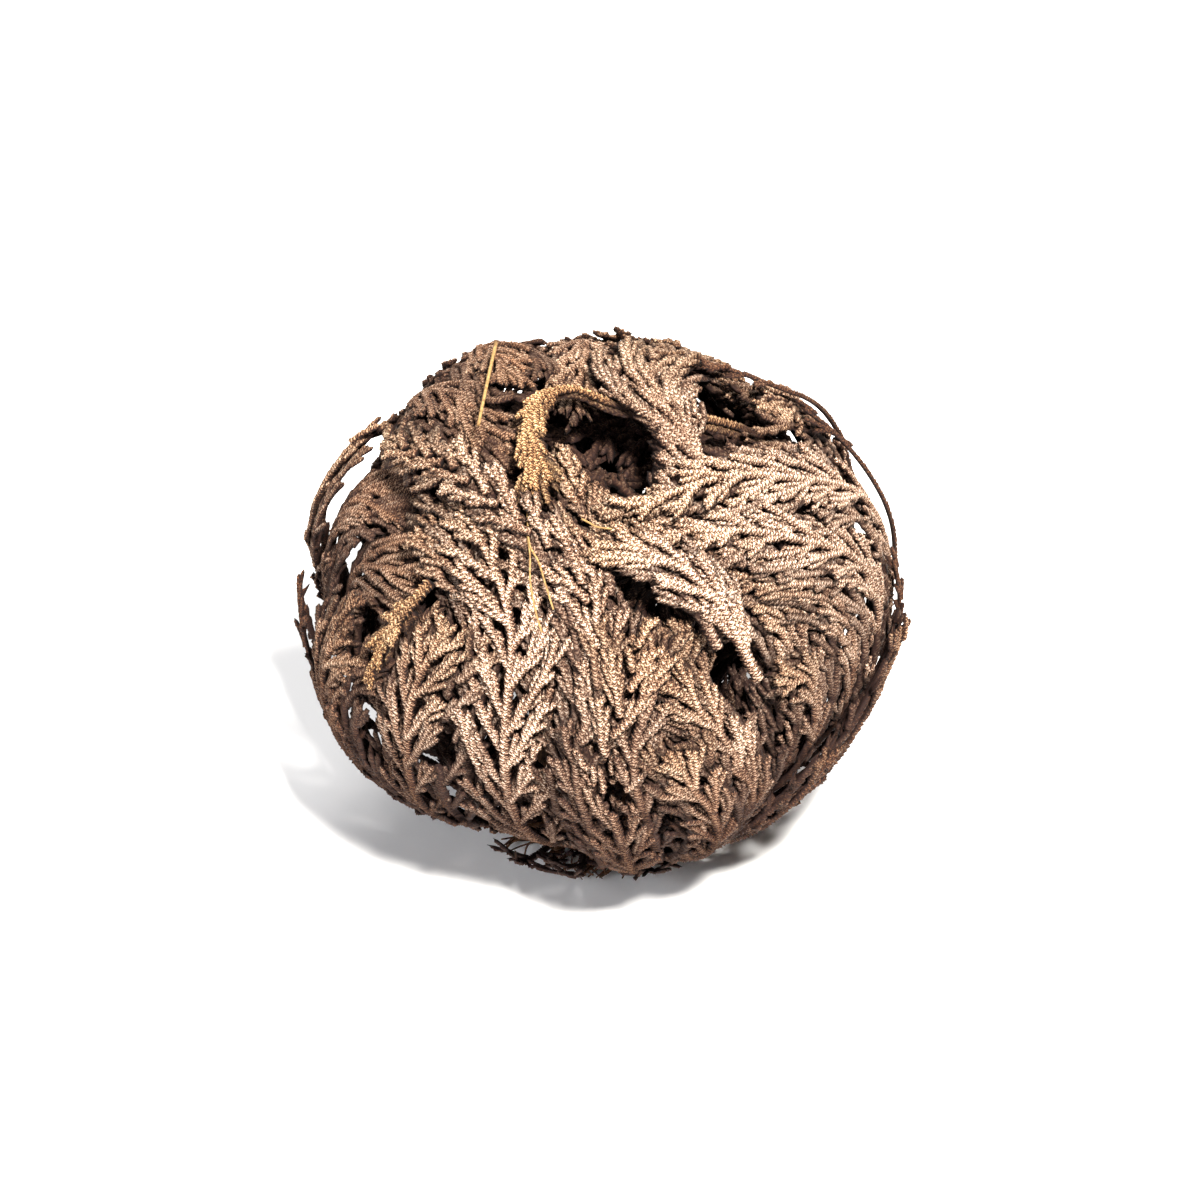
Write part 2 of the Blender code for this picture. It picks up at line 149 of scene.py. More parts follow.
@dataclass(frozen=True)
class DryScaleLeaf:
    """Dried scale leaves with a chalky pale surface, on plant stems that are tan below it, with painted
    light and shade.

    The eye sees pale pinkish-beige leaf tips lit by painted highlights, a tan body, and near-black brown
    painted shade where leaf meets leaf, on the cords' flanks and under other cords.
    """

    # Ramp colours, from painted shade in the crevices through the body tone to a pale tone with painted
    # highlight.
    crevice_shade: str = "#0E0503"
    shade: str = "#341C0E"
    body: str = "#6C503E"
    painted_top_light: str = "#AC9079"
    frost_and_highlight: str = "#E4D0BE"
    brown: str = "#B08A68"
    olive: str = "#EFDDB0"
    # Near-black that the darkness channel blends to: the frond's own darkness and painted shade.
    inner: str = "#1C0B06"
    roughness: float = 0.82
    grain_mm: float = 0.35
    scale_pitch_mm: float = 0.5
    rows_round: float = 5.0
    blotch_mm: float = 6.0
    lip_share: float = 0.3
    painted_top_light_share: float = 0.34
    scale_share: float = 0.5
    blotch_swing: float = 0.3
    grain_swing: float = 0.5
    age_share: float = 0.9
    inner_share: float = 0.85
    darkest_tint: float = 0.82
    tint_swing: float = 0.36
    relief_mm: float = 0.12
    relief_strength: float = 0.8

    def make(self, name: str) -> bpy.types.Material:
        """Builds the material.

        Args:
            name: the material's name.

        Returns:
            The node material.
        """
        material, tree, shader = new_material(name)
        leaf = add_node(tree, "ShaderNodeAttribute", {"attribute_name": "leaf"})
        parts = add_node(tree, "ShaderNodeSeparateColor", links={"Color": leaf.outputs["Color"]})
        lip, painted_top_light, tint = parts.outputs
        age_shade_attribute = add_node(tree, "ShaderNodeAttribute", {"attribute_name": "age"})
        age_shade_parts = add_node(tree, "ShaderNodeSeparateColor", links={"Color": age_shade_attribute.outputs["Color"]})
        brown, olive, inner = age_shade_parts.outputs
        place = add_node(tree, "ShaderNodeTexCoord").outputs["Object"]
        blotch = add_node(tree, "ShaderNodeTexNoise", {"Scale": 1 / (self.blotch_mm * MM), "Detail": 3.0},
                          {"Vector": place}).outputs["Fac"]
        grain = add_node(tree, "ShaderNodeTexNoise", {"Scale": 1 / (self.grain_mm * MM), "Detail": 2.0},
                         {"Vector": place}).outputs["Fac"]
        scale = self.scale_rows(tree)
        # Painted light and shade: lit sums painted highlights on the lips, painted light on cord tops
        # against painted shade on their flanks, and painted shade at each scale's foot, plus random blotches
        # and grain.
        lit = add_node(tree, "ShaderNodeMath", {"operation": "MULTIPLY_ADD", 1: self.lip_share},
                       {0: lip, 2: self._scaled(tree, painted_top_light, self.painted_top_light_share)}).outputs[0]
        lit = add_node(tree, "ShaderNodeMath", {"operation": "MULTIPLY_ADD", 1: self.scale_share},
                       {0: scale, 2: lit}).outputs[0]
        patch = self._swing(tree, blotch, self.blotch_swing)
        speck = self._swing(tree, grain, self.grain_swing)
        lit = add_node(tree, "ShaderNodeMath", {"operation": "ADD"}, {0: lit, 1: patch}).outputs[0]
        lit = add_node(tree, "ShaderNodeMath", {"operation": "ADD"}, {0: lit, 1: speck}).outputs[0]
        # The ramp turns lit into colour: painted shade in the crevices, then the body tone, then painted
        # highlights.
        ramp = add_node(tree, "ShaderNodeValToRGB", links={"Fac": lit})
        set_ramp(ramp, [(0.22, self.crevice_shade), (0.44, self.shade), (0.6, self.body), (0.76, self.painted_top_light),
                        (0.95, self.frost_and_highlight)])
        colour = self._blend(tree, "MULTIPLY", self._scaled(tree, brown, self.age_share),
                             ramp.outputs["Color"], self.brown)
        colour = self._blend(tree, "MULTIPLY", self._scaled(tree, olive, self.age_share), colour, self.olive)
        # Painted shade: blends towards near-black by the darkness channel, which holds the frond's own
        # darkness and painted shade.
        colour = self._blend(tree, "MIX", self._scaled(tree, inner, self.inner_share), colour, self.inner)
        value = add_node(tree, "ShaderNodeMath",
                         {"operation": "MULTIPLY_ADD", 1: self.tint_swing, 2: self.darkest_tint},
                         {0: tint}).outputs[0]
        toned = add_node(tree, "ShaderNodeHueSaturation", links={"Value": value, "Color": colour})
        relief = add_node(tree, "ShaderNodeMath", {"operation": "MULTIPLY_ADD", 1: 0.4},
                          {0: grain, 2: scale}).outputs[0]
        bump = add_node(tree, "ShaderNodeBump",
                        {"Strength": self.relief_strength, "Distance": self.relief_mm * MM},
                        {"Height": relief})
        tree.links.new(toned.outputs["Color"], shader.inputs["Base Color"])
        tree.links.new(bump.outputs["Normal"], shader.inputs["Normal"])
        shader.inputs["Roughness"].default_value = self.roughness
        shader.inputs["IOR"].default_value = 1.45
        shader.inputs["Specular IOR Level"].default_value = 0.25
        return material

    def scale_rows(self, tree: bpy.types.NodeTree) -> bpy.types.NodeSocket:
        """Draws rows of overlapping scales round a cord: each rises to its lip, then drops.

        The colour uses the rise as a painted highlight at each lip and painted shade at each scale's foot.

        Args:
            tree: the material's node tree.

        Returns:
            The scales' height, from 0 to 1.
        """
        def step(operation: str, first: bpy.types.NodeSocket, second: float = 0.0,
                 third: bpy.types.NodeSocket | None = None) -> bpy.types.NodeSocket:
            """One sum on a socket."""
            links = {0: first} if third is None else {0: first, 2: third}
            return add_node(tree, "ShaderNodeMath", {"operation": operation, 1: second}, links).outputs[0]

        turn = add_node(tree, "ShaderNodeUVMap", {"uv_map": "UVMap"})
        axes = add_node(tree, "ShaderNodeSeparateXYZ", links={"Vector": turn.outputs["UV"]})
        row = step("MULTIPLY", axes.outputs["X"], self.rows_round)
        beside = step("ABSOLUTE", step("SUBTRACT", step("FRACT", row), 0.5))
        shift = step("MULTIPLY", step("MODULO", step("FLOOR", row), 2.0), 0.5)
        along = step("MULTIPLY_ADD", axes.outputs["Y"], 1 / self.scale_pitch_mm, shift)
        rise = step("FRACT", step("MULTIPLY_ADD", beside, -0.9, along))
        return step("MULTIPLY_ADD", beside, -0.7, rise)

    @staticmethod
    def _scaled(tree: bpy.types.NodeTree, value: bpy.types.NodeSocket,
                share: float) -> bpy.types.NodeSocket:
        """A value times a share."""
        return add_node(tree, "ShaderNodeMath", {"operation": "MULTIPLY", 1: share}, {0: value}).outputs[0]

    @staticmethod
    def _swing(tree: bpy.types.NodeTree, value: bpy.types.NodeSocket,
               swing: float) -> bpy.types.NodeSocket:
        """A value from 0 to 1 turned to a swing of a given size round zero."""
        return add_node(tree, "ShaderNodeMath", {"operation": "MULTIPLY_ADD", 1: swing, 2: -swing / 2},
                        {0: value}).outputs[0]

    @staticmethod
    def _blend(tree: bpy.types.NodeTree, mode: str, amount: bpy.types.NodeSocket,
               colour: bpy.types.NodeSocket, other: str) -> bpy.types.NodeSocket:
        """A colour blended with a fixed one by an amount."""
        mix = add_node(tree, "ShaderNodeMix", {"data_type": "RGBA", "blend_type": mode, 7: linear(other)},
                       {0: amount, 6: colour})
        return mix.outputs[2]


@dataclass(frozen=True)
class Bark:
    """Dry brown plant stem, root or crown wood: matt, fibrous and streaked.

    The eye sees dark brown with paler worn fibres and black between them.
    """

    dark: str
    light: str
    fibre_mm: float
    roughness: float = 0.9

    def make(self, name: str) -> bpy.types.Material:
        """Builds the material.

        Args:
            name: the material's name.

        Returns:
            The node material.
        """
        material, tree, shader = new_material(name)
        place = add_node(tree, "ShaderNodeTexCoord").outputs["Object"]
        fibre = add_node(tree, "ShaderNodeTexNoise",
                         {"Scale": 1 / (self.fibre_mm * MM), "Detail": 5.0, "Roughness": 0.65},
                         {"Vector": place}).outputs["Fac"]
        ramp = add_node(tree, "ShaderNodeValToRGB", links={"Fac": fibre})
        set_ramp(ramp, [(0.35, self.dark), (0.7, self.light)])
        bump = add_node(tree, "ShaderNodeBump", {"Strength": 0.5, "Distance": 0.15 * MM}, {"Height": fibre})
        tree.links.new(ramp.outputs["Color"], shader.inputs["Base Color"])
        tree.links.new(bump.outputs["Normal"], shader.inputs["Normal"])
        shader.inputs["Roughness"].default_value = self.roughness
        shader.inputs["Specular IOR Level"].default_value = 0.2
        return material


@dataclass(frozen=True)
class PaperSweep:
    """Matt white background paper, which gives an even pale floor."""

    colour: str = "#F4F3F1"

    def make(self, name: str) -> bpy.types.Material:
        """Builds the material.

        Args:
            name: the material's name.

        Returns:
            The node material.
        """
        material, tree, shader = new_material(name)
        place = add_node(tree, "ShaderNodeTexCoord").outputs["Object"]
        tooth = add_node(tree, "ShaderNodeTexNoise", {"Scale": 1 / (0.8 * MM)}, {"Vector": place})
        bump = add_node(tree, "ShaderNodeBump", {"Strength": 0.05, "Distance": 0.05 * MM},
                        {"Height": tooth.outputs["Fac"]})
        tree.links.new(bump.outputs["Normal"], shader.inputs["Normal"])
        shader.inputs["Base Color"].default_value = linear(self.colour)
        shader.inputs["Roughness"].default_value = 0.9
        return material


# The ball's form


@dataclass
class Ball:
    """The curled-up plant's outer form, which every frond follows at its own depth."""

    width: float = 96.0
    depth: float = 94.0
    height: float = 86.0
    swellings: list[tuple[float, float, float, float]] = field(default_factory=lambda: [
        (-58, -14, 24, 2.2),
        (-130, 40, 30, 1.8),
        (6, 64, 16, -2.5),
        (30, 10, 18, -1.2),
    ])

    @property
    def mean_radius(self) -> float:
        """The ball's mean radius."""
        return (self.width + self.height) / 4

    @staticmethod
    def unit(azimuth: float, height: float) -> np.ndarray:
        """The direction from the ball's centre of an azimuth and a height angle."""
        a, h = math.radians(azimuth), math.radians(height)
        return np.array([math.sin(a) * math.cos(h), -math.cos(a) * math.cos(h), math.sin(h)])

    def points(self, directions: np.ndarray, depths: np.ndarray) -> np.ndarray:
        """Points below the ball's surface.

        Args:
            directions: unit directions from the centre, one per row.
            depths: the depth below the surface of each point.

        Returns:
            The points, one per row.
        """
        rise = np.zeros(len(directions))
        for azimuth, height, spread, swell in self.swellings:
            away = np.degrees(np.arccos(np.clip(directions @ self.unit(azimuth, height), -1.0, 1.0)))
            rise += swell * np.exp(-((away / spread) ** 2))
        half = np.array([self.width / 2, self.depth / 2, self.height / 2]) + (rise - depths)[:, None]
        return half * directions + np.array([0.0, 0.0, self.height / 2])


def normalised(rows: np.ndarray) -> np.ndarray:
    """Rows scaled to length 1."""
    return rows / np.maximum(np.linalg.norm(rows, axis=-1, keepdims=True), 1e-9)


def catmull_rom(stops: np.ndarray, steps: int) -> np.ndarray:
    """A smooth curve through stops.

    Args:
        stops: the points that the curve passes through.
        steps: how many steps it takes between two stops.

    Returns:
        The curve's points.
    """
    padded = np.vstack([2 * stops[0] - stops[1], stops, 2 * stops[-1] - stops[-2]])
    t = np.linspace(0, 1, steps, endpoint=False)[:, None]
    pieces = []
    for i in range(len(stops) - 1):
        a, b, c, d = padded[i : i + 4]
        bend = (2 * a - 5 * b + 4 * c - d) * t**2 + (3 * b - a - 3 * c + d) * t**3
        pieces.append(0.5 * (2 * b + (c - a) * t + bend))
    pieces.append(stops[-1:])
    return np.vstack(pieces)


# Meshes


class MeshBuffer:
    """Gathers rings of points into one mesh with its leaf and age attributes and its UV map.

    The UV map runs once round a tube from 0 to 1, and along it in millimetres.
    """

    def __init__(self) -> None:
        """Starts empty."""
        self.points: list[np.ndarray] = []
        self.leaf: list[np.ndarray] = []
        self.age: list[np.ndarray] = []
        self.quads: list[np.ndarray] = []
        self.caps: list[np.ndarray] = []
        self.turns: list[np.ndarray] = []
        self.count = 0

    def add_tube(self, rings: np.ndarray, leaf: np.ndarray, age: np.ndarray) -> None:
        """Adds one closed tube.

        Args:
            rings: points by ring, place round the ring and axis.
            leaf: painted lip highlight, painted top light and tint of each point, in the same order.
            age: brownness, olive share and darkness of each point, in the same order.
        """
        count, sides, _ = rings.shape
        middle = rings.mean(axis=1)
        along = np.concatenate([[0], np.cumsum(np.linalg.norm(np.diff(middle, axis=0), axis=1))])
        left, ahead = np.meshgrid(np.arange(sides) / sides, along[:-1])
        _, beyond = np.meshgrid(np.arange(sides), along[1:])
        right = left + 1 / sides
        self.turns.append(np.stack([left, ahead, right, ahead, right, beyond, left, beyond],
                                   axis=-1).reshape(-1, 2))
        index = self.count + np.arange(count * sides).reshape(count, sides)
        after = np.roll(index, -1, axis=1)
        quads = np.stack([index[:-1], after[:-1], after[1:], index[1:]], axis=-1)
        self.points.append(rings.reshape(-1, 3))
        self.leaf.append(leaf.reshape(-1, 3))
        self.age.append(age.reshape(-1, 3))
        self.quads.append(quads.reshape(-1, 4))
        self.caps.append(index[0, ::-1])
        self.caps.append(index[-1])
        self.count += count * sides

    def make(self, name: str, material: bpy.types.Material, smooth: bool = False) -> bpy.types.Object:
        """Makes the object.

        Args:
            name: the object's name.
            material: its material.
            smooth: whether its faces are shaded smooth.

        Returns:
            The object, linked to the scene.
        """
        quads = np.concatenate(self.quads)
        corners = np.concatenate([quads.ravel(), *self.caps]).astype(np.int32)
        sizes = np.array([4] * len(quads) + [len(c) for c in self.caps], dtype=np.int32)
        starts = np.concatenate([[0], np.cumsum(sizes)[:-1]]).astype(np.int32)
        mesh = bpy.data.meshes.new(name)
        mesh.vertices.add(self.count)
        mesh.vertices.foreach_set("co", (np.concatenate(self.points) * MM).astype(np.float32).ravel())
        mesh.loops.add(len(corners))
        mesh.loops.foreach_set("vertex_index", corners)
        mesh.polygons.add(len(sizes))
        mesh.polygons.foreach_set("loop_start", starts)
        mesh.polygons.foreach_set("loop_total", sizes)
        turns = np.concatenate([*self.turns, np.zeros((sum(len(c) for c in self.caps), 2))])
        mesh.uv_layers.new(name="UVMap").data.foreach_set("uv", turns.astype(np.float32).ravel())
        for title, values in (("leaf", self.leaf), ("age", self.age)):
            rows = np.concatenate(values)
            colours = np.column_stack([rows, np.ones(len(rows))]).astype(np.float32)
            layer = mesh.color_attributes.new(title, "FLOAT_COLOR", "POINT")
            layer.data.foreach_set("color", colours.ravel())
        mesh.update(calc_edges=True)
        mesh.validate()
        mesh.materials.append(material)
        if smooth:
            mesh.shade_smooth()
        piece = bpy.data.objects.new(name, mesh)
        bpy.context.scene.collection.objects.link(piece)
        return piece


@dataclass
class CordLine:
    """Where one cord runs: its axis, outward directions, girths, depths, age and cover, and its tint."""

    path: np.ndarray
    outward: np.ndarray
    girth: np.ndarray
    depth: np.ndarray
    age: np.ndarray
    cover: np.ndarray
    tint: float

    @property
    def along(self) -> np.ndarray:
        """The distance of each place from the line's start."""
        steps = np.linalg.norm(np.diff(self.path, axis=0), axis=1)
        return np.concatenate([[0], np.cumsum(steps)])

    def part(self, first: int, last: int) -> "CordLine":
        """The line from one of its places up to another."""
        rows = slice(first, last)
        return CordLine(self.path[rows], self.outward[rows], self.girth[rows], self.depth[rows],
                        self.age[rows], self.cover[rows], self.tint)

    def at(self, new: np.ndarray) -> "CordLine":
        """The same line with other places.

        Args:
            new: the distances of the places from its start.

        Returns:
            The new line.
        """
        old = self.along

        def moved(values: np.ndarray) -> np.ndarray:
            """Values at the new places."""
            if values.ndim == 1:
                return np.interp(new, old, values)
            return np.column_stack([np.interp(new, old, column) for column in values.T])

        return CordLine(moved(self.path), normalised(moved(self.outward)), moved(self.girth),
                        moved(self.depth), moved(self.age), moved(self.cover), self.tint)


@dataclass
class ScaleCord:
    """A branchlet wrapped in plaited rows of scale leaves: rows on top, one at each edge, one below."""

    half_width: float = 0.64
    half_thickness: float = 0.6
    under_thickness: float = 0.36
    row_pitch: float = 0.86
    tooth: float = 0.13
    unevenness: float = 0.09
    overhang: float = 0.3
    open_cover: float = 0.6
    hidden_step: float = 1.5
    tip_length: float = 0.6
    angles: tuple[float, ...] = (0.0, 62.0, 118.0, 180.0, 270.0)
    # Painted light on the cord's top sides and painted shade on its edges and underside, one value per side.
    painted_top_light: tuple[float, ...] = (0.0, 1.0, 1.0, 0.0, 0.0)

    def ring_places(self, line: CordLine) -> np.ndarray:
        """Where the rings of a cord sit along it: half a row apart in the open, wider under others."""
        step = np.where(line.cover < self.open_cover, self.row_pitch / 2, self.hidden_step)
        along = line.along
        flow = np.concatenate([[0], np.cumsum(np.diff(along) / (step[1:] + step[:-1]) * 2)])
        count = 2 * max(2, round(flow[-1] / 2)) + 1
        return np.interp(np.linspace(0, flow[-1], count), flow, along)

    def add(self, buffer: MeshBuffer, line: CordLine, dice: np.random.Generator) -> None:
        """Adds a cord along its line.

        Args:
            buffer: the mesh that it is added to.
            line: the cord's line.
            dice: random numbers for its unevenness.
        """
        line = line.at(self.ring_places(line))
        length = line.along[-1]
        path = line.path
        count = len(path)
        ahead = normalised(np.gradient(path, axis=0))
        aside = normalised(np.cross(ahead, line.outward))
        top = np.cross(aside, ahead)
        step = np.gradient(line.along)[:, None, None]
        into = np.clip((line.along - (length - self.tip_length)) / self.tip_length, 0, 0.96)
        scale = line.girth * np.sqrt(1 - into**2)
        turn = np.radians(self.angles)
        sides = len(turn)
        across = np.cos(turn) * self.half_width
        rise = np.where(np.sin(turn) > 0, self.half_thickness, self.under_thickness) * np.sin(turn)
        even = (np.arange(count) % 2 == 0)[:, None]
        first_row = (np.arange(sides) % 2 == 0)[None, :]
        lip = (even == first_row).astype(float)
        lip[:, -1] = 0.3
        swell = 1 + self.tooth * (2 * lip - 1) + self.unevenness * dice.standard_normal((count, sides))
        swell[:, -1] = 1.0
        reach = scale[:, None] * swell
        rings = (path[:, None, :]
                 + aside[:, None, :] * (across[None, :] * reach)[:, :, None]
                 + top[:, None, :] * (rise[None, :] * reach)[:, :, None]
                 + ahead[:, None, :] * (lip * self.overhang * 2)[:, :, None] * step)
        # Painted light: each lip gets a painted highlight of random strength, each side its painted top
        # light or painted shade.
        leaf = np.empty((count, sides, 3))
        leaf[:, :, 0] = lip * dice.uniform(0.6, 1.0, (count, sides))
        leaf[:, :, 1] = np.array(self.painted_top_light)[None, :]
        leaf[:, :, 2] = line.tint
        buffer.add_tube(rings, leaf, np.repeat(line.age[:, None, :], sides, axis=1))


@dataclass
class Thicket:
    """Finds how deep each cord lies under others; leaves out what nobody can see, darkens the rest with
    painted shade.
    """

    patch: float = 1.7
    clearance: float = 0.5
    hidden_cover: float = 1.15
    inner_depth: float = 9.5
    hollow: tuple[float, float] = (6.0, 64.0)
    hollow_spread: float = 24.0
    shade_per_cord: float = 0.38

    def set_cover(self, lines: list[CordLine], ball: Ball) -> None:
        """Sets the cover of each place of each line: about how many cords lie above it, and adds painted
        shade to its darkness by that cover.

        Args:
            lines: all the cords' lines.
            ball: the plant's form.
        """
        outward = np.concatenate([line.outward for line in lines])
        depth = np.concatenate([line.depth for line in lines])
        weight = np.concatenate([np.gradient(line.along) for line in lines])
        weight /= math.radians(self.patch) * ball.mean_radius
        row = ((np.degrees(np.arcsin(np.clip(outward[:, 2], -1, 1))) + 90) / self.patch).astype(int)
        middle = np.radians((row + 0.5) * self.patch - 90)
        around = np.maximum(1, np.round(360 / self.patch * np.cos(middle)))
        azimuth = np.degrees(np.arctan2(outward[:, 0], -outward[:, 1])) % 360
        cell = row * 1000.0 + np.floor(azimuth / 360 * around)
        key = cell * 100 + depth + 20
        order = np.argsort(key)
        total = np.concatenate([[0], np.cumsum(weight[order])])
        ranked = key[order]
        start = np.searchsorted(ranked, cell * 100)
        end = np.maximum(start, np.searchsorted(ranked, key - self.clearance))
        cover = total[end] - total[start]
        place = 0
        window = np.ones(5) / 5
        for line in lines:
            count = len(line.path)
            own = np.pad(cover[place : place + count], 2, mode="edge")
            line.cover = np.convolve(own, window, mode="valid")
            # Painted shade: each place darkens with the cords that lie above it.
            line.age[:, 2] = np.clip(line.age[:, 2] + self.shade_per_cord * line.cover, 0, 1)
            place += count

    def visible_part(self, line: CordLine, ball: Ball) -> CordLine | None:
        """The part of a cord that can be seen.

        Args:
            line: the whole cord's line.
            ball: the plant's form.

        Returns:
            The part, or None where other cords hide it all.
        """
        near_hollow = line.outward @ ball.unit(*self.hollow) > math.cos(math.radians(self.hollow_spread))
        open_places = (line.cover < self.hidden_cover) | (line.depth > self.inner_depth) | near_hollow
        found = np.flatnonzero(open_places)
        if len(found) == 0:
            return None
        return line.part(max(0, found[0] - 4), min(len(line.path), found[-1] + 5))


def plain_tube(buffer: MeshBuffer, path: np.ndarray, radii: np.ndarray, sides: int,
               tint: float = 0.5) -> None:
    """Adds a smooth round tube.

    Args:
        buffer: the mesh that it is added to.
        path: the tube's axis.
        radii: its radius at each point of the path.
        sides: how many sides it has.
        tint: how light it is, from 0 to 1.
    """
    ahead = normalised(np.gradient(path, axis=0))
    helper = np.where(np.abs(ahead[:, 2:]) > 0.9, np.array([[1.0, 0.0, 0.0]]), np.array([[0.0, 0.0, 1.0]]))
    aside = normalised(np.cross(ahead, helper))
    top = np.cross(aside, ahead)
    turn = np.linspace(0, 2 * math.pi, sides, endpoint=False)
    rings = (path[:, None, :]
             + aside[:, None, :] * (np.cos(turn)[None, :] * radii[:, None])[:, :, None]
             + top[:, None, :] * (np.sin(turn)[None, :] * radii[:, None])[:, :, None])
    leaf = np.full((len(path), sides, 3), 0.5)
    leaf[:, :, 2] = tint
    buffer.add_tube(rings, leaf, np.zeros((len(path), sides, 3)))


# Fronds


@dataclass
class FrondPlan:
    """One frond's name, half-width, route from the crown to the tip, look, and fans that grow on it.

    Its spread is how wide its branches stand, and its girth how thick its cords are, both against 1.

    A stop on a route is (azimuth, height angle, depth below the ball's surface). Azimuth 0 is the
    front and 90 is the right side; height angle -90 is the bottom and 90 is the top.
    """

    name: str
    half_width: float
    route: list[Stop]
    look: Look = Look.TAN
    spread: float = 1.0
    girth: float = 1.0
    fans: list[tuple[float, list[Stop]]] = field(default_factory=list)


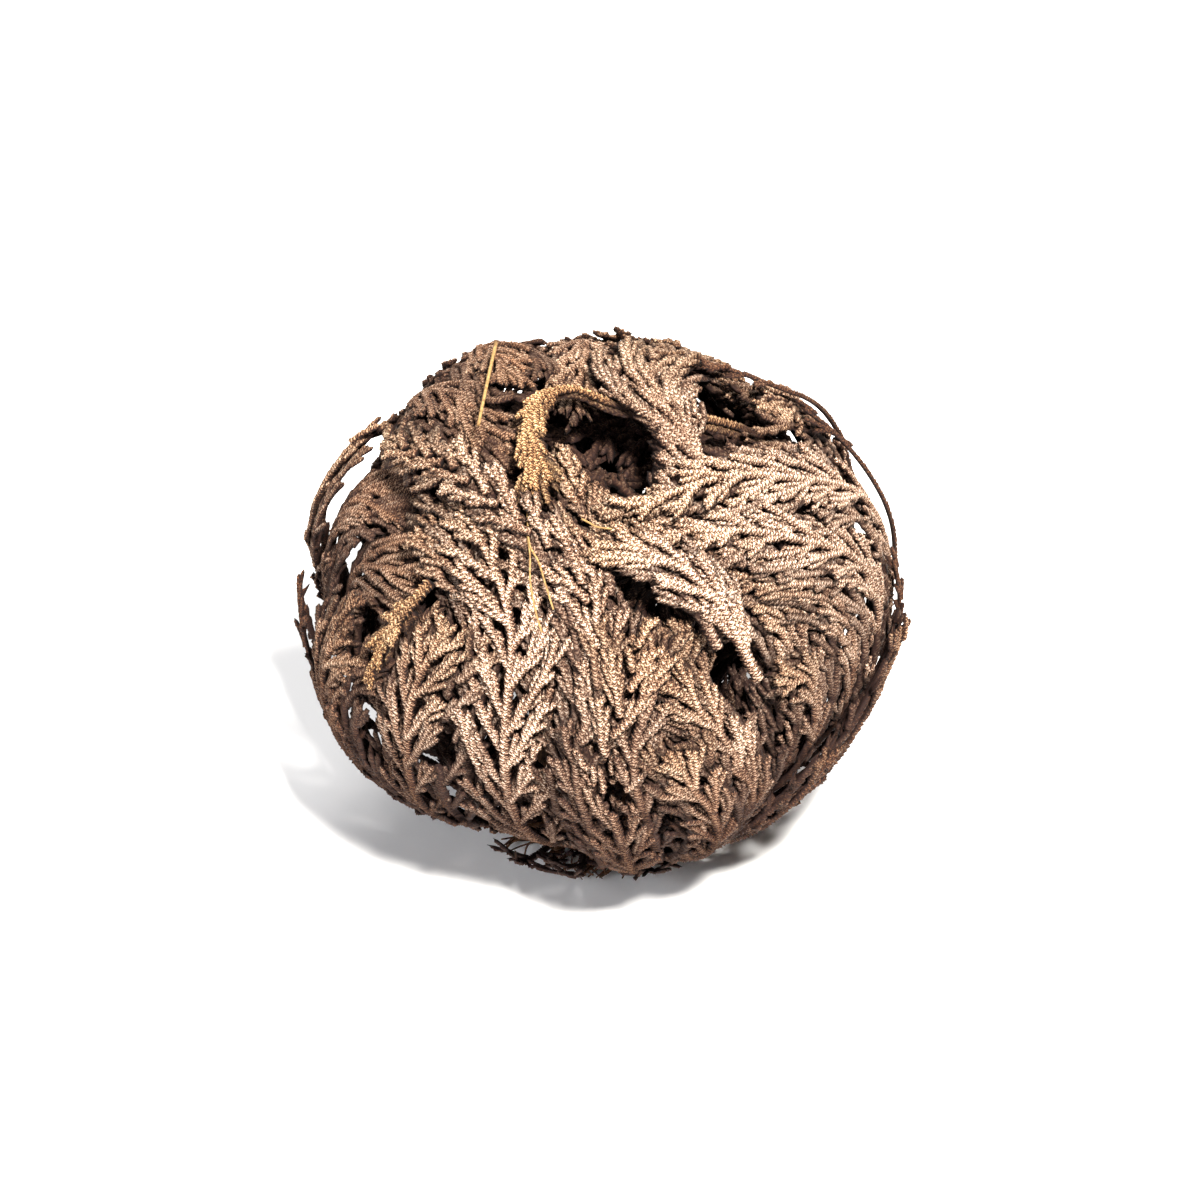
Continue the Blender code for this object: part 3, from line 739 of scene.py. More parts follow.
FRONDS = [
    # Front
    FrondPlan("frond_front_fan", 5.5, [(10, -70, 0), (8, -45, 0), (4, -20, 0), (1, -3, 0), (1, 9, 0),
                                       (4, 18, 0), (6, 26, 0), (8, 34, 0)], spread=0.85),
    FrondPlan("frond_long_diagonal", 4.5, [(5, -70, 2), (7, -45, 2), (6, -25, 2), (1, -8, 2), (-1, 8, 2),
                                           (0, 20, 2), (-1, 32, 2), (-6, 44, 1.5), (-18, 51, 0),
                                           (-40, 56, 0), (-65, 56, 0), (-85, 49, 0), (-98, 42, 0)],
              spread=0.75),
    FrondPlan("frond_front_left", 8.5, [(-12, -70, 4), (-16, -45, 4), (-20, -20, 4), (-21, 0, 4),
                                        (-21, 17, 4), (-22, 30, 4), (-27, 40, 3), (-36, 47, 2),
                                        (-48, 51, 2), (-62, 53, 2)], Look.PALE),
    FrondPlan("frond_front_middle", 5.0, [(-4, -70, 6), (-3, -45, 6), (-3, -25, 6), (-7, -8, 6),
                                          (-11, 5, 6), (-12, 16, 6), (-12, 26, 6), (-13, 34, 6),
                                          (-17, 42, 6), (-26, 49, 6)]),
    FrondPlan("frond_right_diagonal", 5.0, [(30, -70, 2), (34, -40, 2), (33, -18, 2), (29, -6, 2),
                                            (25, 4, 2), (21, 12, 2), (17, 18, 2), (11, 26, 2)],
              spread=0.75),
    FrondPlan("frond_front_right", 4.5, [(16, -70, 4), (18, -40, 4), (20, -18, 4), (18, -3, 4),
                                         (15, 4, 4), (12, 11, 4), (10, 19, 4)]),
    FrondPlan("frond_low_right", 5.0, [(24, -70, 0), (26, -45, 0), (25, -25, 0), (22, -13, 0),
                                       (18, -5, 0), (15, 2, 0), (12, 8, 0)]),
    FrondPlan("frond_low_fan", 3.0, [(10, -70, 6), (10, -40, 6), (10, -20, 6), (9, -3, 6), (8, 6, 6),
                                     (7, 14, 6)]),
    FrondPlan("frond_inner_right", 4.5, [(24, -70, 6), (28, -45, 6), (27, -20, 6), (23, 0, 6),
                                         (21, 12, 6), (20, 22, 6), (20, 30, 5), (19, 36, 4.5)],
              spread=0.9),
    FrondPlan("frond_broken", 4.0, [(33, 18, 0), (30, 27, 0), (27, 37, 0), (21, 45, 0), (12, 50, 0),
                                    (2, 53, 0)], Look.PALE, spread=0.7),
    # Right
    FrondPlan("frond_right_fan", 7.0, [(55, -70, 6), (60, -45, 6), (56, -20, 6), (53, -5, 6), (52, 8, 6),
                                       (53, 18, 6), (53, 26, 6), (49, 34, 6), (42, 40, 6)], spread=0.65),
    FrondPlan("frond_right_fan_low", 6.0, [(50, -70, 8), (54, -45, 8), (53, -15, 8), (51, 5, 8),
                                           (49, 14, 8), (43, 21, 8), (36, 27, 8), (31, 31, 8)],
              spread=0.6),
    FrondPlan("frond_right_ledge", 3.5, [(44, -70, 4), (48, -40, 4), (52, -10, 4), (50, 6, 4), (45, 12, 4),
                                         (37, 15, 4)]),
    FrondPlan("frond_right_inner", 5.5, [(65, -70, 4), (70, -40, 4), (68, -10, 4), (68, 8, 4), (64, 22, 4),
                                         (54, 34, 4), (43, 42, 4), (32, 46, 4)], spread=0.7),
    FrondPlan("frond_right_sweep", 5.5, [(80, -70, 2), (82, -40, 2), (78, -10, 2), (79, 8, 2), (75, 24, 2),
                                         (61, 38, 2), (50, 46, 2), (34, 52, 2), (16, 55, 2), (-6, 56, 2)],
              Look.PALE, spread=0.8),
    FrondPlan("frond_right_crest", 5.5, [(92, -70, 0), (95, -40, 0), (93, -10, 0), (95, 12, 0), (92, 28, 0),
                                         (82, 41, 0), (72, 49, 0), (60, 56, 0), (45, 60, 0), (25, 61, 0),
                                         (6, 60, 0)], Look.PALE, spread=0.85),
    FrondPlan("frond_right_shoulder", 6.0, [(106, -70, 4), (108, -40, 4), (105, -10, 4), (107, 12, 4),
                                            (106, 30, 4), (98, 43, 4), (86, 52, 4), (72, 57, 4)],
              spread=0.75),
    # Top
    FrondPlan("frond_top_fan", 8.0, [(42, -70, 12), (42, -40, 12), (44, 0, 12), (46, 30, 11),
                                     (47, 48, 7), (50, 60, 3), (56, 69, 1), (78, 78, 0), (122, 79, 0),
                                     (146, 71, 0), (151, 63, 0)], spread=0.6,
              fans=[(3.0, [(45, 57, 3), (40, 66, 2.5), (34, 74, 2), (20, 78, 2)]),
                    (4.0, [(49, 61, 2), (62, 71, 1), (100, 76, 0.5), (132, 66, 0.5), (143, 54, 0.5)]),
                    (4.0, [(49, 61, 2), (54, 72, 1), (62, 84, 0.5), (160, 83, 0.5), (166, 74, 0.5)])]),
    FrondPlan("frond_top_centre", 6.0, [(2, -70, 8), (4, -40, 8), (5, 0, 8), (4, 30, 8), (1, 45, 6),
                                        (-4, 54, 5), (-9, 62, 4), (-17, 70, 3), (-26, 75, 2.5)],
              spread=0.65),
    FrondPlan("frond_top_arch", 1.5, [(114, -70, 6), (114, -30, 6), (112, 20, 6), (106, 50, 6),
                                      (92, 73, 4), (60, 86, 2), (-100, 85, 0.5), (-88, 79, 0),
                                      (-64, 74, 0), (-44, 70, 0), (-33, 66, 0)], Look.OLIVE, spread=0.4),
    # Left
    FrondPlan("frond_left_front", 6.5, [(-46, -70, 2), (-46, -40, 2), (-43, -18, 2), (-42, -5, 2),
                                        (-41, 10, 2), (-39, 20, 2), (-37, 30, 2)]),
    FrondPlan("frond_left_reach", 6.0, [(-30, -70, 8), (-32, -40, 8), (-33, -10, 8), (-33, 15, 8),
                                        (-34, 28, 6), (-38, 36, 5), (-46, 41, 4), (-58, 44, 4),
                                        (-70, 44, 4)]),
    FrondPlan("frond_left_lobe", 7.0, [(-58, -70, 0), (-60, -45, 0), (-64, -22, 0), (-67, -8, 0),
                                       (-66, 4, 0), (-61, 13, 0)], Look.BROWN, spread=0.75),
    FrondPlan("frond_left_side", 8.0, [(-78, -70, 6), (-82, -40, 6), (-84, -10, 6), (-84, 8, 6),
                                       (-80, 18, 6), (-70, 26, 6), (-58, 32, 6), (-50, 36, 6)],
              Look.BROWN, spread=0.75),
    FrondPlan("frond_left_back", 6.0, [(-94, -70, 2), (-96, -40, 2), (-95, -10, 2), (-96, 15, 2),
                                       (-93, 30, 3), (-84, 40, 6), (-74, 46, 8)], Look.BROWN, spread=0.65),
    FrondPlan("frond_left_edge", 3.0, [(-108, -70, 0), (-112, -40, -0.5), (-107, -10, -1.5),
                                       (-101, 10, -2.2), (-102, 25, -2.2), (-108, 36, -1)], Look.TAN,
              spread=0.7),
    FrondPlan("frond_left_curl", 1.7, [(-44, 36, 0), (-47, 28, 0), (-50, 20, 0), (-51, 15, 0)], Look.OLIVE,
              spread=0.5),
    # Back of the top
    FrondPlan("frond_shoulder_low", 6.0, [(-118, -70, 4), (-122, -40, 4), (-120, 0, 4), (-114, 30, 4),
                                          (-104, 46, 4), (-88, 56, 4), (-68, 61, 5), (-54, 62, 6)],
              Look.BROWN, spread=0.6),
    FrondPlan("frond_shoulder_middle", 6.0, [(-130, -70, 2), (-133, -40, 2), (-131, 0, 2), (-128, 30, 2),
                                             (-120, 48, 2), (-104, 60, 2), (-80, 66, 3), (-62, 67, 4)],
              Look.BROWN, spread=0.6),
    FrondPlan("frond_shoulder_high", 6.0, [(-147, -70, 0), (-150, -40, 0), (-149, 0, 0), (-146, 35, 0),
                                           (-138, 55, 0), (-120, 68, 0), (-104, 72, 0)], Look.BROWN,
              spread=0.6),
    FrondPlan("frond_top_back", 7.0, [(-172, -70, 2), (-174, -30, 2), (-174, 20, 2), (-174, 55, 2),
                                      (-168, 72, 2.5), (-140, 82, 4), (-70, 85, 5)]),
    FrondPlan("frond_top_back_inner", 7.0, [(-158, -70, 4), (-160, -30, 4), (-161, 20, 4), (-162, 50, 4),
                                            (-160, 68, 5)]),
    # Back
    FrondPlan("frond_back_right", 6.5, [(122, -70, 0), (124, -40, 0), (124, -5, 0), (121, 25, 0),
                                        (113, 46, 0), (102, 58, 1)]),
    FrondPlan("frond_back_mid_right", 6.5, [(138, -70, 2), (140, -40, 2), (141, -5, 2), (140, 28, 2),
                                            (136, 48, 2)]),
    FrondPlan("frond_back_middle", 6.0, [(154, -70, 0), (156, -40, 0), (157, -5, 0), (158, 30, 0),
                                         (160, 52, 0)]),
    FrondPlan("frond_back_wide", 6.5, [(171, -70, 0), (173, -40, 0), (175, -5, 0), (177, 28, 0),
                                       (180, 50, 0)]),
    FrondPlan("frond_back_under_right", 6.0, [(130, -70, 4), (132, -40, 4), (133, 0, 4), (131, 35, 4),
                                              (124, 56, 4)]),
    FrondPlan("frond_back_under", 6.0, [(146, -70, 4), (148, -40, 4), (149, 0, 4), (150, 35, 4),
                                        (152, 58, 4)]),
    FrondPlan("frond_back_under_left", 6.5, [(164, -70, 4), (166, -40, 4), (167, 0, 4), (168, 35, 4),
                                             (172, 60, 5)]),
    # Inner fronds, seen through the gaps
    FrondPlan("frond_inner_front", 17.0, [(-9, -70, 10), (-10, -40, 10), (-11, 0, 10), (-9, 30, 10),
                                         (-4, 50, 11), (2, 64, 13), (20, 76, 15)], Look.BROWN, girth=1.4),
    FrondPlan("frond_inner_front_left", 17.0, [(-60, -70, 10), (-61, -40, 10), (-62, 0, 10), (-61, 30, 10),
                                              (-56, 50, 11), (-44, 64, 13)], Look.BROWN, girth=1.4),
    FrondPlan("frond_inner_left", 17.0, [(-112, -70, 10), (-112, -40, 10), (-113, 0, 10), (-112, 30, 10),
                                        (-108, 52, 11), (-98, 68, 13)], Look.BROWN, girth=1.4),
    FrondPlan("frond_inner_back_left", 17.0, [(-166, -70, 10), (-166, -40, 10), (-166, 0, 10),
                                             (-164, 34, 10), (-160, 58, 11), (-150, 74, 13)],
              Look.BROWN, girth=1.4),
    FrondPlan("frond_inner_back_right", 17.0, [(138, -70, 10), (138, -40, 10), (138, 0, 10), (136, 34, 10),
                                              (130, 56, 11), (118, 70, 13)], Look.BROWN, girth=1.4),
    FrondPlan("frond_inner_right_side", 17.0, [(88, -70, 10), (88, -40, 10), (88, 0, 10), (86, 30, 10),
                                              (80, 50, 11), (68, 64, 13)], Look.BROWN, girth=1.4),
    # Outward tips at the right foot
    FrondPlan("frond_foot_right", 3.8, [(54, -70, 0), (58, -48, 0), (64, -32, 0), (71, -18, 0),
                                        (77, -8, -1), (82, 2, -3)]),
    FrondPlan("frond_foot_front", 3.2, [(38, -70, 0), (40, -50, 0), (44, -36, 0), (49, -24, 0),
                                        (55, -14, 0)]),
    # Dead fronds
    FrondPlan("dead_frond_left_high", 1.9, [(-72, -70, 2), (-80, -42, 0), (-83, -15, -1), (-86, 0, -2),
                                            (-89, 9, -3)], Look.DEAD, girth=0.75),
    FrondPlan("dead_frond_left_low", 1.9, [(-86, -70, 0), (-88, -42, -0.5), (-90, -20, -1.2),
                                           (-93, -3, -2.2)], Look.DEAD, girth=0.75),
    FrondPlan("dead_frond_right", 1.9, [(78, -70, -1), (84, -35, -1.5), (88, -10, -1.5), (89, 5, -1.5),
                                        (88, 14, -1.4)], Look.DEAD, girth=0.75),
    FrondPlan("dead_frond_right_high", 1.3, [(118, -70, -1.5), (120, -35, -1.5), (121, 0, -1.8),
                                             (119, 30, -2.1), (113, 50, -2), (118, 60, -1.6),
                                             (128, 67, -1.2)], Look.DEAD, girth=0.75),
    FrondPlan("dead_frond_right_arc", 1.3, [(101, -70, -1.5), (103, -35, -1.8), (101, 0, -2),
                                            (99, 22, -2.2), (102, 36, -2.2),
                                            (108, 47, -1.8)], Look.DEAD, girth=0.75),
    FrondPlan("dead_frond_front_left", 6.0, [(-30, -70, -0.8), (-28, -57, -1.2), (-26, -46, -1.2)],
              Look.DEAD, spread=1.6, girth=0.7),
    FrondPlan("dead_frond_front", 6.0, [(-9, -70, -0.8), (-8, -57, -1.4), (-10, -44, -1.6)],
              Look.DEAD, spread=1.6, girth=0.7),
    FrondPlan("dead_frond_front_right", 6.0, [(17, -70, -1.2), (17, -57, -1.6), (18, -46, -1.6)],
              Look.DEAD, spread=1.6, girth=0.7),
]


class Midrib:
    """A frond's midrib as a smooth line round the ball, with places beside it."""

    def __init__(self, ball: Ball, route: list[Stop]) -> None:
        """Works out the line.

        Args:
            ball: the form that the line follows.
            route: the stops that it passes through.
        """
        self.ball = ball
        stops = np.array([[*ball.unit(azimuth, height), depth] for azimuth, height, depth in route])
        curve = catmull_rom(stops, 24)
        self.directions = normalised(curve[:, :3])
        self.depths = curve[:, 3]
        places = ball.points(self.directions, self.depths)
        self.along = np.concatenate([[0], np.cumsum(np.linalg.norm(np.diff(places, axis=0), axis=1))])
        self.length = float(self.along[-1])
        ahead = np.gradient(self.directions, axis=0)
        self.asides = normalised(np.cross(self.directions, ahead))

    def place(self, s: np.ndarray, t: np.ndarray, lift: np.ndarray) -> tuple[np.ndarray, np.ndarray]:
        """Points beside the midrib.

        Args:
            s: distances along the midrib; past its end the line runs straight on.
            t: distances to the left of it.
            lift: heights above the frond's own layer.

        Returns:
            The points, and the outward direction at each.
        """
        inside = np.clip(s, 0, self.length)
        centre = np.column_stack([np.interp(inside, self.along, self.directions[:, k]) for k in range(3)])
        aside = np.column_stack([np.interp(inside, self.along, self.asides[:, k]) for k in range(3)])
        depth = np.interp(inside, self.along, self.depths)
        onward = np.cross(aside, centre) * ((s - inside) / self.ball.mean_radius)[:, None]
        radius = self.ball.mean_radius - depth
        direction = normalised(centre + aside * (t / radius)[:, None] + onward)
        return self.ball.points(direction, depth - lift), direction


@dataclass(frozen=True)
class Clearing:
    """A gap in the plant that one looks into: its azimuth, height angle, radius and fronds over it."""

    azimuth: float
    height: float
    radius: float
    crossed_by: tuple[str, ...] = ()


CLEARINGS = [
    Clearing(11, 76, 6.4, ("frond_top_arch",)),
    Clearing(13, 43, 4.6, ("frond_broken",)),
    Clearing(34, 16, 6.4, ("frond_broken",)),
    Clearing(68, 65, 3.4, ("dead_frond_right_high",)),
    Clearing(-52, 31, 2.6, ()),
    Clearing(-36, -5, 2.4, ()),
    Clearing(-13, -1, 1.8, ()),
    Clearing(3, -6, 2.0, ()),
]


@dataclass
class Branch:
    """A branch's line in its frond: along the midrib, beside it, above its layer, and its angle to it."""

    s: np.ndarray
    t: np.ndarray
    lift: np.ndarray
    angle: np.ndarray
    length: float
    tint: float


@dataclass
class Frond:
    """A branching frond built of scale-leaved cords."""

    plan: FrondPlan
    ball: Ball
    seed: int
    fine: ScaleCord = field(default_factory=ScaleCord)
    # The plain cord has painted light on its top side and painted shade on its edges and underside.
    plain: ScaleCord = field(default_factory=lambda: ScaleCord(
        row_pitch=1.7, tooth=0.08, angles=(0.0, 90.0, 180.0, 270.0), painted_top_light=(0.0, 1.0, 0.0, 0.0)))
    stalk_share: float = 0.09
    shoulder_share: float = 0.15
    tip_share: float = 0.2
    side_pitch: float = 7.4
    leave_angle: float = 34.0
    run_angle: float = 19.0
    finger_pitch: float = 1.85
    finger_angle: float = 48.0
    finger_shift: float = 13.0
    finger_bend: float = 1.9
    under_drop: float = 1.2
    under_reach: float = 0.8
    under_width: float = 0.75
    under_shade: float = 0.4
    stem_girth: tuple[float, float] = (1.75, 0.65)
    branch_girth: tuple[float, float] = (1.3, 0.28)
    finger_girth: tuple[float, float] = (0.95, 0.07)
    fork_chance: float = 0.45
    brown_below: float = 4.0
    sample_step: float = 0.5

    def half_width_at(self, share: float, half_width: float) -> float:
        """The frond's half-width at a share of its length.

        Args:
            share: the share of the length, from 0 at the foot to 1 at the tip.
            half_width: the full half-width of its blade.

        Returns:
            The half-width there, in millimetres.
        """
        grow = np.clip((share - self.stalk_share) / self.shoulder_share, 0.0, 1.0)
        fade = np.clip((1.0 - share) / self.tip_share, 0.0, 1.0)
        blade = 1.0 + (half_width - 1.0) * math.sin(grow * math.pi / 2)
        return 2.0 + (blade - 2.0) * math.sin(fade * math.pi / 2) ** 0.7

    def grow(self) -> list[CordLine]:
        """Works out where all the frond's cords run.

        Returns:
            The lines of all its cords.
        """
        self.dice = np.random.default_rng(SEED + self.seed)
        self.lines: list[CordLine] = []
        self.add_blade(self.plan.route, self.plan.half_width, 0.0)
        for half_width, route in self.plan.fans:
            self.add_blade(route, half_width, 0.0)
        if self.plan.look is not Look.DEAD:
            self.add_under_sprays()
        return self.lines

    def build(self, thicket: Thicket, material: bpy.types.Material) -> bpy.types.Object:
        """Builds the frond from the parts of its cords that can be seen.

        Args:
            thicket: what says which parts can be seen.
            material: what it is dressed in.

        Returns:
            The frond's object.
        """
        buffer = MeshBuffer()
        for line in self.lines:
            seen = thicket.visible_part(line, self.ball)
            if seen is None:
                continue
            hidden = seen.cover.min() > 0.6 or seen.depth.min() > 8
            (self.plain if hidden or seen.outward[:, 2].max() < -0.75 else self.fine).add(
                buffer, seen, self.dice)
        return buffer.make(self.plan.name + "_leaves", material)

    def add_under_sprays(self) -> None:
        """Adds a lower spray of branches at each side, which fills the gaps beside the frond."""
        reach = self.plan.half_width * self.under_reach
        for side in (-1.0, 1.0):
            stops = []
            for azimuth, height, depth in self.plan.route[1:]:
                shift = math.degrees(reach * side / (self.ball.mean_radius - depth))
                azimuth_shift = shift / max(0.25, math.cos(math.radians(height)))
                level = abs(height) > 68
                stops.append((azimuth + (0 if level else azimuth_shift), height, depth + self.under_drop))
            if len(stops) > 2:
                self.add_blade(stops, self.plan.half_width * self.under_width, self.under_shade)

    def add_blade(self, route: list[Stop], half_width: float, shade: float) -> None:
        """Adds one blade: its midrib, side branches and fingers.

        Args:
            route: the blade's route.
            half_width: its half-width.
            shade: how much darker it is than the frond's main blade.
        """
        dice = self.dice
        self.rib = Midrib(self.ball, route)
        self.shade = shade
        length = self.rib.length
        self.blade_tint = float(dice.uniform(0.3, 0.7))
        self.from_crown = route[0][1] < -50
        places = self.places_for(length - 1.0)
        u = np.linspace(0, 1, places)
        waver = 0.25 * np.sin(u * length / 9 + dice.uniform(0, 6))
        stem = Branch(u * (length - 1.0), waver, -0.5 - 0.5 * u**4, np.zeros(places), length - 1.0,
                      self.blade_tint)
        self.add_line(stem, self.tapered(self.stem_girth, u), 0.0)
        self.add_fingers(stem, 1.0, max(2.0, length - 8.0))
        place = length * self.stalk_share * 0.8 if self.from_crown else 0.3
        side = 1.0
        while place < length - 2.5:
            share = place / length
            width = self.half_width_at(min(1.0, share + 0.08), half_width)
            if width > 1.6 and dice.random() > 0.05:
                self.add_side_branch(place, side, width)
            place += self.side_pitch / 2 * max(1.0, self.plan.girth) * dice.uniform(0.75, 1.25)
            side = -side

    def tapered(self, girth: tuple[float, float], u: np.ndarray) -> np.ndarray:
        """A cord's girth at shares of its length, from its girth at the start and how much it loses."""
        return self.plan.girth * (girth[0] - girth[1] * u)

    def places_for(self, length: float) -> int:
        """How many places a line of a length takes."""
        return max(6, round(length / self.sample_step) + 1)

    def add_line(self, branch: Branch, girth: np.ndarray, reach: float) -> None:
        """Adds one cord's line.

        Args:
            branch: the cord's place in the frond.
            girth: the cord's girth.
            reach: how far out on its branch the cord is, from 0 to 1.
        """
        path, outward = self.rib.place(branch.s, branch.t, branch.lift)
        brown, olive, dark = self.plan.look.value
        share = np.clip(branch.s / self.rib.length, 0, 1)
        foot = np.clip((self.brown_below - np.degrees(np.arcsin(outward[:, 2]))) / 30, 0, 1)
        layer = np.interp(np.clip(branch.s, 0, self.rib.length), self.rib.along, self.rib.depths)
        # Brownness grows towards the bottom and is a little less on fingers. Darkness is the look's own,
        # plus painted shade deeper in the plant and on the under-sprays, and more towards the bottom.
        age = np.column_stack([
            np.clip(brown + 0.7 * foot - 0.15 * reach + self.dice.uniform(-0.1, 0.3), 0, 1),
            np.clip(olive + 0.45 * np.clip((share - 0.75) / 0.25, 0, 1), 0, 1),
            np.clip(dark + layer / 36 + 0.6 * foot + self.shade, 0, 1),
        ])
        tint = float(np.clip(branch.tint + self.dice.uniform(-0.12, 0.12), 0, 1))
        line = CordLine(path, outward, girth, layer - branch.lift, age, np.zeros(len(path)), tint)
        stop = self.clear_length(line)
        if stop > 3:
            self.lines.append(line.part(0, stop))

    def clear_length(self, line: CordLine) -> int:
        """How many of a line's places come before it would close a gap; inner fronds lie behind them."""
        stop = len(line.path)
        for gap in CLEARINGS:
            if self.plan.name in gap.crossed_by or self.plan.girth > 1:
                continue
            away = line.outward @ self.ball.unit(gap.azimuth, gap.height)
            inside = away > math.cos(gap.radius / self.ball.mean_radius)
            if inside.any():
                stop = min(stop, int(np.argmax(inside)))
        return stop

    def add_side_branch(self, start: float, side: float, width: float) -> None:
        """Adds a side branch with its fingers.

        Args:
            start: where it leaves the midrib.
            side: 1 for the left side and -1 for the right.
            width: how far out from the midrib its tip comes.
        """
        dice = self.dice
        leave = math.radians(self.leave_angle + dice.uniform(-7, 7)) * self.plan.spread
        run = math.radians(self.run_angle + dice.uniform(-7, 9)) * self.plan.spread
        length = width / math.sin((leave + run) / 2) * dice.uniform(0.75, 1.0)
        places = self.places_for(length)
        u = np.linspace(0, 1, places)
        angle = leave + (run - leave) * np.sqrt(u)
        step = length / (places - 1)
        s = start + np.concatenate([[0], np.cumsum(np.cos(angle[1:]))]) * step
        t = side * np.concatenate([[0], np.cumsum(np.sin(angle[1:]))]) * step
        t = t + 0.15 * np.sin(u * length / 2.5 + dice.uniform(0, 6)) * u
        lift = -0.6 + dice.uniform(-0.4, 0.2) + dice.uniform(-1.8, 1.1) * u**2
        branch = Branch(s, t, lift, side * angle, length, self.blade_tint + dice.uniform(-0.22, 0.22))
        self.add_line(branch, self.tapered(self.branch_girth, u), 0.5)
        self.add_fingers(branch, side, dice.uniform(1.6, 2.8))

    def add_fingers(self, branch: Branch, side: float, start: float) -> None:
        """Adds blunt fingers to a branch by turns, left and right.

        Args:
            branch: the branch.
            side: the side that the first one is likelier to leave to.
            start: how far along the branch the first one leaves.
        """
        dice = self.dice
        turn = side if dice.random() < 0.65 else -side
        pitch = self.finger_pitch * max(1.0, self.plan.girth)
        if self.shade or self.rib.depths.min() > 5:
            pitch *= 1.5
        while start < branch.length - 1.1:
            rest = branch.length - start
            length = float(np.clip(dice.uniform(2.8, 5.4), 1.5, rest + 1.0))
            finger = self.add_finger(branch, start / branch.length, length, turn)
            if length > 3.4 and not self.shade and dice.random() < self.fork_chance:
                self.add_finger(finger, dice.uniform(0.4, 0.55), length * 0.5, -turn)
            start += pitch * dice.uniform(0.7, 1.3)
            turn = -turn

    def add_finger(self, branch: Branch, share: float, length: float, turn: float) -> Branch:
        """Adds one blunt finger to a branch.

        Args:
            branch: the branch.
            share: where on the branch the finger leaves, from 0 to 1.
            length: the finger's length.
            turn: the side of the branch that the finger leaves to.

        Returns:
            The finger's line.
        """
        dice = self.dice
        i = min(len(branch.s) - 2, int(share * (len(branch.s) - 1)))
        places = self.places_for(length)
        u = np.linspace(0, 1, places)
        off = math.radians(self.finger_angle + dice.uniform(-8, 8))
        end = math.radians(self.finger_shift + dice.uniform(-8, 8)) * self.plan.spread
        bend = np.clip(u * length / self.finger_bend, 0, 1)
        way = branch.angle[i] + turn * (off + (end - off) * bend)
        step = length / (places - 1)
        s = branch.s[i] + np.concatenate([[0], np.cumsum(np.cos(way[1:]))]) * step
        t = branch.t[i] + np.concatenate([[0], np.cumsum(np.sin(way[1:]))]) * step
        lift = branch.lift[i] - 0.1 + dice.uniform(-1.3, 0.8) * u
        finger = Branch(s, t, lift, way, length, branch.tint)
        self.add_line(finger, self.tapered(self.finger_girth, u), 1.0)
        return finger


# Crown, roots and straw


@dataclass
class Crown:
    """The matted woody crown, with the stubs of old stems round its side."""

    profile: tuple[tuple[float, float], ...] = ((15.0, 0.0), (15.6, 2.4), (14.9, 4.6), (13.6, 8.2),
                                                (12.3, 11.8), (11.0, 15.4), (8.5, 19.0), (4.0, 21.0))
    sides: int = 120
    turns: int = 48
    roughness: float = 0.9
    stubs: int = 150

    def build(self, material: bpy.types.Material) -> bpy.types.Object:
        """Builds the crown.

        Args:
            material: what it is dressed in.

        Returns:
            The crown's object.
        """
        dice = np.random.default_rng(SEED + 500)
        buffer = MeshBuffer()
        profile = np.array(self.profile)
        u = np.linspace(0, len(profile) - 1, self.turns)
        radius = np.interp(u, np.arange(len(profile)), profile[:, 0])
        height = np.interp(u, np.arange(len(profile)), profile[:, 1])
        turn = np.linspace(0, 2 * math.pi, self.sides, endpoint=False)
        rough = np.zeros((self.turns, self.sides))
        for wave in range(18):
            round_count = int(dice.integers(5, 34))
            up_count = dice.uniform(0.2, 1.6)
            phase = dice.uniform(0, 2 * math.pi)
            rough += np.sin(turn[None, :] * round_count + u[:, None] * up_count + phase) / 9
        reach = radius[:, None] - self.roughness * (1 - rough) / 2
        rings = np.stack([reach * np.cos(turn), reach * np.sin(turn),
                          np.repeat(height[:, None], self.sides, axis=1)], axis=-1)
        neutral = np.full((self.turns, self.sides, 3), 0.5)
        buffer.add_tube(rings, neutral, neutral)
        for _ in range(self.stubs):
            self.add_stub(buffer, dice)
        return buffer.make("crown_wood", material, smooth=True)

    def add_stub(self, buffer: MeshBuffer, dice: np.random.Generator) -> None:
        """Adds the stub of one old stem.

        Args:
            buffer: the crown's mesh.
            dice: the crown's random numbers.
        """
        turn = dice.uniform(0, 2 * math.pi)
        level = dice.uniform(1.2, 7.5)
        radius = np.interp(level, [p[1] for p in self.profile], [p[0] for p in self.profile]) - 0.6
        out = np.array([math.cos(turn), math.sin(turn), 0.0])
        around = np.array([-math.sin(turn), math.cos(turn), 0.0])
        tip = out * dice.uniform(2.0, 4.5) + around * dice.uniform(-2.5, 2.5)
        tip[2] = max(dice.uniform(-0.8, 2.2), 0.7 - level)
        u = np.linspace(0, 1, 6)[:, None]
        path = out * radius + np.array([0, 0, level]) + tip * u + around * dice.uniform(-1, 1) * u * (1 - u)
        plain_tube(buffer, path, np.linspace(0.5, dice.uniform(0.2, 0.4), 6), 6, dice.uniform(0.2, 0.8))


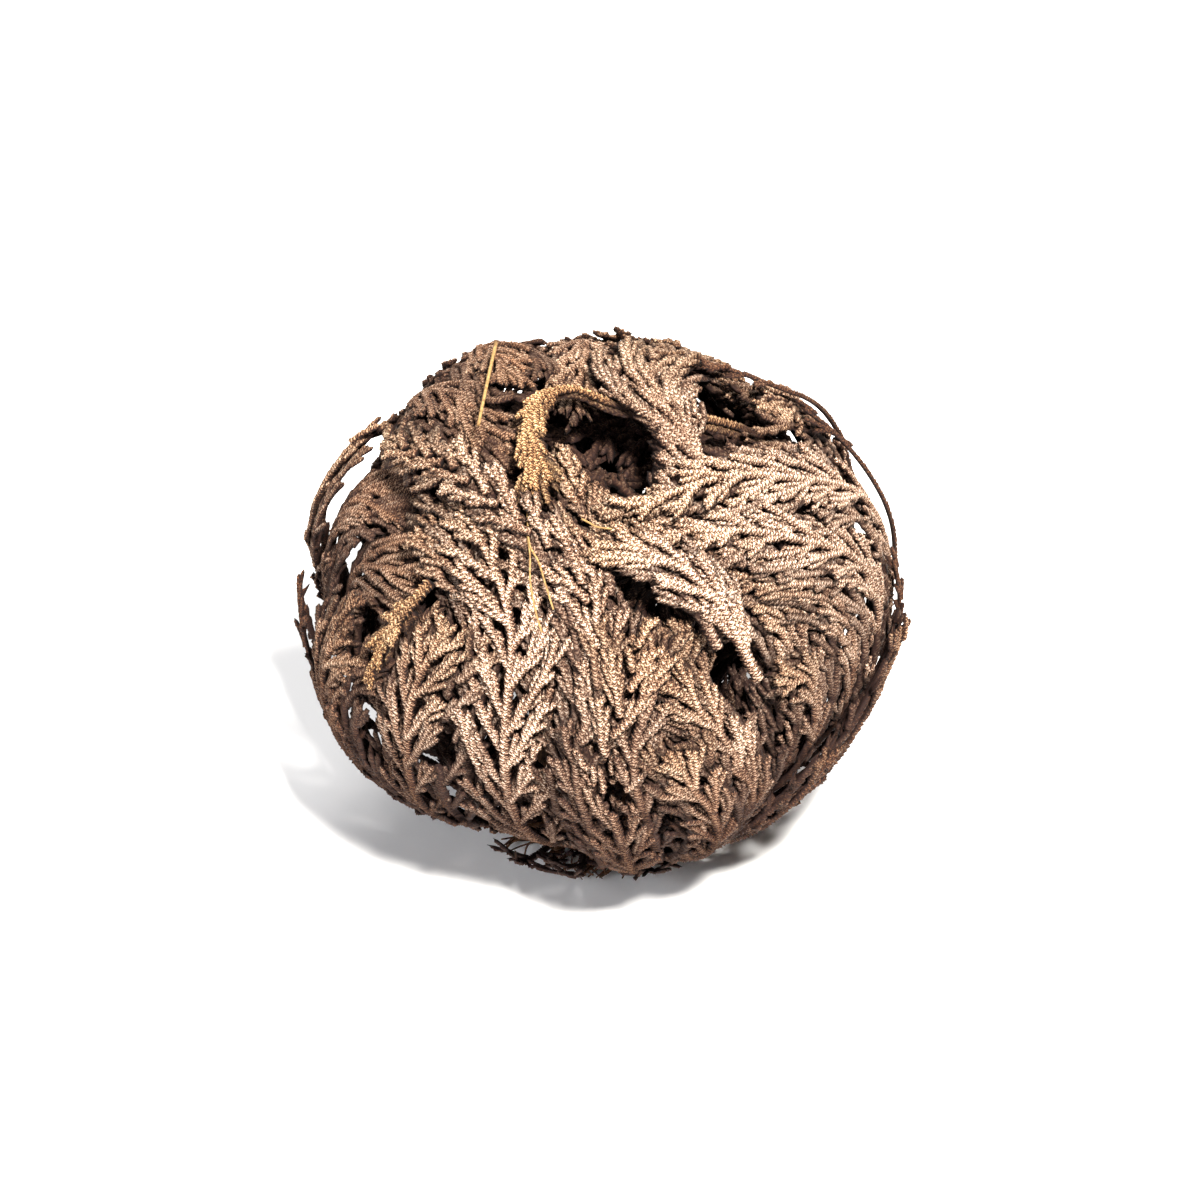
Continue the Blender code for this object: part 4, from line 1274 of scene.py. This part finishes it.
@dataclass
class RootTuft:
    """A tuft of wiry rootlets that comes out from under the crown."""

    name: str
    bends: list[tuple[float, float, float]]
    seed: int
    rootlets: int = 22

    def build(self, material: bpy.types.Material) -> bpy.types.Object:
        """Builds the tuft.

        Args:
            material: what it is dressed in.

        Returns:
            The tuft's object.
        """
        dice = np.random.default_rng(SEED + 700 + self.seed)
        buffer = MeshBuffer()
        for number in range(self.rootlets):
            spread = 0.0 if number == 0 else dice.uniform(-26, 26)
            reach = 1.0 if number == 0 else dice.uniform(0.82, 1.0)
            stops = []
            for azimuth, distance, height in self.bends:
                a = math.radians(azimuth + spread * distance / 20 + dice.uniform(-1.5, 1.5))
                d = self.bends[0][1] - 1.5 + (distance - self.bends[0][1] + 1.5) * reach
                stops.append([d * math.sin(a), -d * math.cos(a), height + dice.uniform(-0.3, 0.9)])
            path = catmull_rom(np.array(stops), 8)
            thick = 0.6 if number == 0 else dice.uniform(0.16, 0.4)
            radii = np.linspace(thick, 0.12, len(path))
            path[:, 2] = np.maximum(path[:, 2], radii + 0.02)
            plain_tube(buffer, path, radii, 6, dice.uniform(0.2, 0.8))
        return buffer.make(self.name + "_wire", material, smooth=True)


@dataclass
class Straw:
    """A loose stalk of straw and three fine fibres of it, caught on the fronds."""

    ball: Ball
    ends: tuple[Stop, Stop] = ((-128, 65, -2.4), (-70, 65, -0.8))
    radius: float = 0.3
    fibres: tuple[tuple[Stop, ...], ...] = (
        ((-28, 57, 1.4), (-26, 55, 1.0), (-22, 50, 0.6), (-18, 47, 0.5), (-15, 43, 0.7), (-12, 38, 1.4)),
        ((-24, 52, 0.9), (-21, 48, 0.7), (-19, 43, 0.8), (-16, 37, 1.0), (-14, 33, 1.6)),
        ((-8, 58, 1.2), (-5, 57, 0.7), (-2, 56, 0.4), (3, 55.5, 0.2)),
    )
    fibre_radius: float = 0.16

    def build(self, material: bpy.types.Material) -> bpy.types.Object:
        """Builds the straw and its fibres.

        Args:
            material: what it is dressed in.

        Returns:
            The straw's object.
        """
        buffer = MeshBuffer()
        tips = [self.ball.points(self.ball.unit(a, h)[None, :], np.array([d - self.radius]))[0]
                for a, h, d in self.ends]
        u = np.linspace(0, 1, 14)
        path = tips[0] + (tips[1] - tips[0]) * u[:, None]
        path[:, 2] += 0.25 * np.sin(u * math.pi)
        plain_tube(buffer, path, self.radius * (1 - 0.15 * u), 8, 0.6)
        for stops in self.fibres:
            route = catmull_rom(np.array(stops, dtype=float), 6)
            directions = np.array([self.ball.unit(a, h) for a, h in route[:, :2]])
            fibre = self.ball.points(directions, route[:, 2])
            plain_tube(buffer, fibre, np.full(len(fibre), self.fibre_radius), 5, 0.8)
        return buffer.make("straw_stalk", material, smooth=True)


# Studio


@dataclass
class Studio:
    """The pale floor, the soft lights and the camera at the photograph's angle."""

    elevation: float = 38.0
    distance: float = 600.0
    frame_width: float = 198.0
    aim: tuple[float, float, float] = (-0.5, 0.0, 43.0)
    floor_side: float = 6000.0

    def build(self) -> None:
        """Builds the studio."""
        self.add_floor()
        self.add_camera()
        self.add_light("key", (130.0, -330.0, 600.0), 110.0, 19.5, "#FFFCF8")
        self.add_light("fill", (-420.0, -380.0, 330.0), 300.0, 2.6, "#F6F8FF")
        self.add_light("back", (60.0, 480.0, 520.0), 400.0, 4.0, "#FFFFFF")
        self.add_world()
        view = bpy.context.scene.view_settings
        view.view_transform = "Standard"
        view.look = "None"

    def add_floor(self) -> None:
        """Adds the floor."""
        half = self.floor_side / 2 * MM
        mesh = bpy.data.meshes.new("floor")
        corners = [(-half, -half, 0), (half, -half, 0), (half, half, 0), (-half, half, 0)]
        mesh.from_pydata(corners, [], [(0, 1, 2, 3)])
        mesh.materials.append(PaperSweep().make("white_background_paper"))
        floor = bpy.data.objects.new("floor", mesh)
        bpy.context.scene.collection.objects.link(floor)

    def add_camera(self) -> None:
        """Adds the camera."""
        lens = bpy.data.cameras.new("camera")
        lens.sensor_width = 36.0
        lens.lens = lens.sensor_width * self.distance / self.frame_width
        lens.clip_start = 0.01
        lens.clip_end = 20.0
        camera = bpy.data.objects.new("camera", lens)
        tilt = math.radians(self.elevation)
        target = Vector(self.aim) * MM
        back = Vector((0.0, -math.cos(tilt), math.sin(tilt)))
        camera.location = target + back * self.distance * MM
        camera.rotation_euler = (math.pi / 2 - tilt, 0.0, 0.0)
        bpy.context.scene.collection.objects.link(camera)
        bpy.context.scene.camera = camera

    def add_light(self, name: str, place: tuple[float, float, float], size: float, power: float,
                  colour: str) -> None:
        """Adds one soft light that faces the plant.

        Args:
            name: the light's name.
            place: where it stands.
            size: the side of its square.
            power: its power in watts.
            colour: its colour as a hex code.
        """
        data = bpy.data.lights.new(name, "AREA")
        data.shape = "SQUARE"
        data.size = size * MM
        data.energy = power
        data.color = linear(colour)[:3]
        light = bpy.data.objects.new(name, data)
        light.location = Vector(place) * MM
        aim = Vector(self.aim) * MM - light.location
        light.rotation_euler = aim.to_track_quat("-Z", "Y").to_euler()
        bpy.context.scene.collection.objects.link(light)

    def add_world(self) -> None:
        """Adds the even light of the room."""
        world = bpy.data.worlds.new("room")
        world.use_nodes = True
        background = world.node_tree.nodes["Background"]
        background.inputs["Color"].default_value = linear("#FFFFFF")
        background.inputs["Strength"].default_value = 0.09
        bpy.context.scene.world = world


ROOTS = {
    "root_front_left": [(-24, 16.4, 1.1), (-27, 19.5, 1.0), (-23, 22.5, 0.9)],
    "root_front": [(2, 16.4, 1.1), (5, 19.5, 1.0), (0, 22.5, 0.9)],
    "root_back": [(170, 16.4, 1.1), (166, 19.5, 1.0), (173, 23.0, 0.9)],
}


def settle(piece: bpy.types.Object, node: str) -> None:
    """Puts a piece on the plant in place of its solid.

    Args:
        piece: the piece.
        node: the solid that it stands for.
    """
    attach(piece, "root")
    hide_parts(node)
    LOG.info("%s: %d faces", piece.name, len(piece.data.polygons))


def main() -> None:
    """Builds the plant and the studio round it."""
    logging.basicConfig(level=logging.INFO, format="%(message)s")
    ball = Ball()
    leaves = DryScaleLeaf().make("dried_scale_leaf")
    crown_wood = Bark("#1A0F09", "#5A3D28", 1.2).make("matted_crown_wood")
    root_wire = Bark("#20130B", "#6B4A30", 0.8).make("wiry_root_bark")
    oat_straw = Bark("#6A4D2C", "#A98A58", 0.6, 0.7).make("dry_straw")
    fronds = [Frond(plan, ball, number) for number, plan in enumerate(FRONDS)]
    thicket = Thicket()
    thicket.set_cover([line for frond in fronds for line in frond.grow()], ball)
    for frond in fronds:
        settle(frond.build(thicket, leaves), frond.plan.name)
    settle(Crown().build(crown_wood), "crown")
    for number, (name, bends) in enumerate(ROOTS.items()):
        settle(RootTuft(name, bends, number).build(root_wire), name)
    settle(Straw(ball).build(oat_straw), "straw")
    Studio().build()


if __name__ == "__main__":
    main()
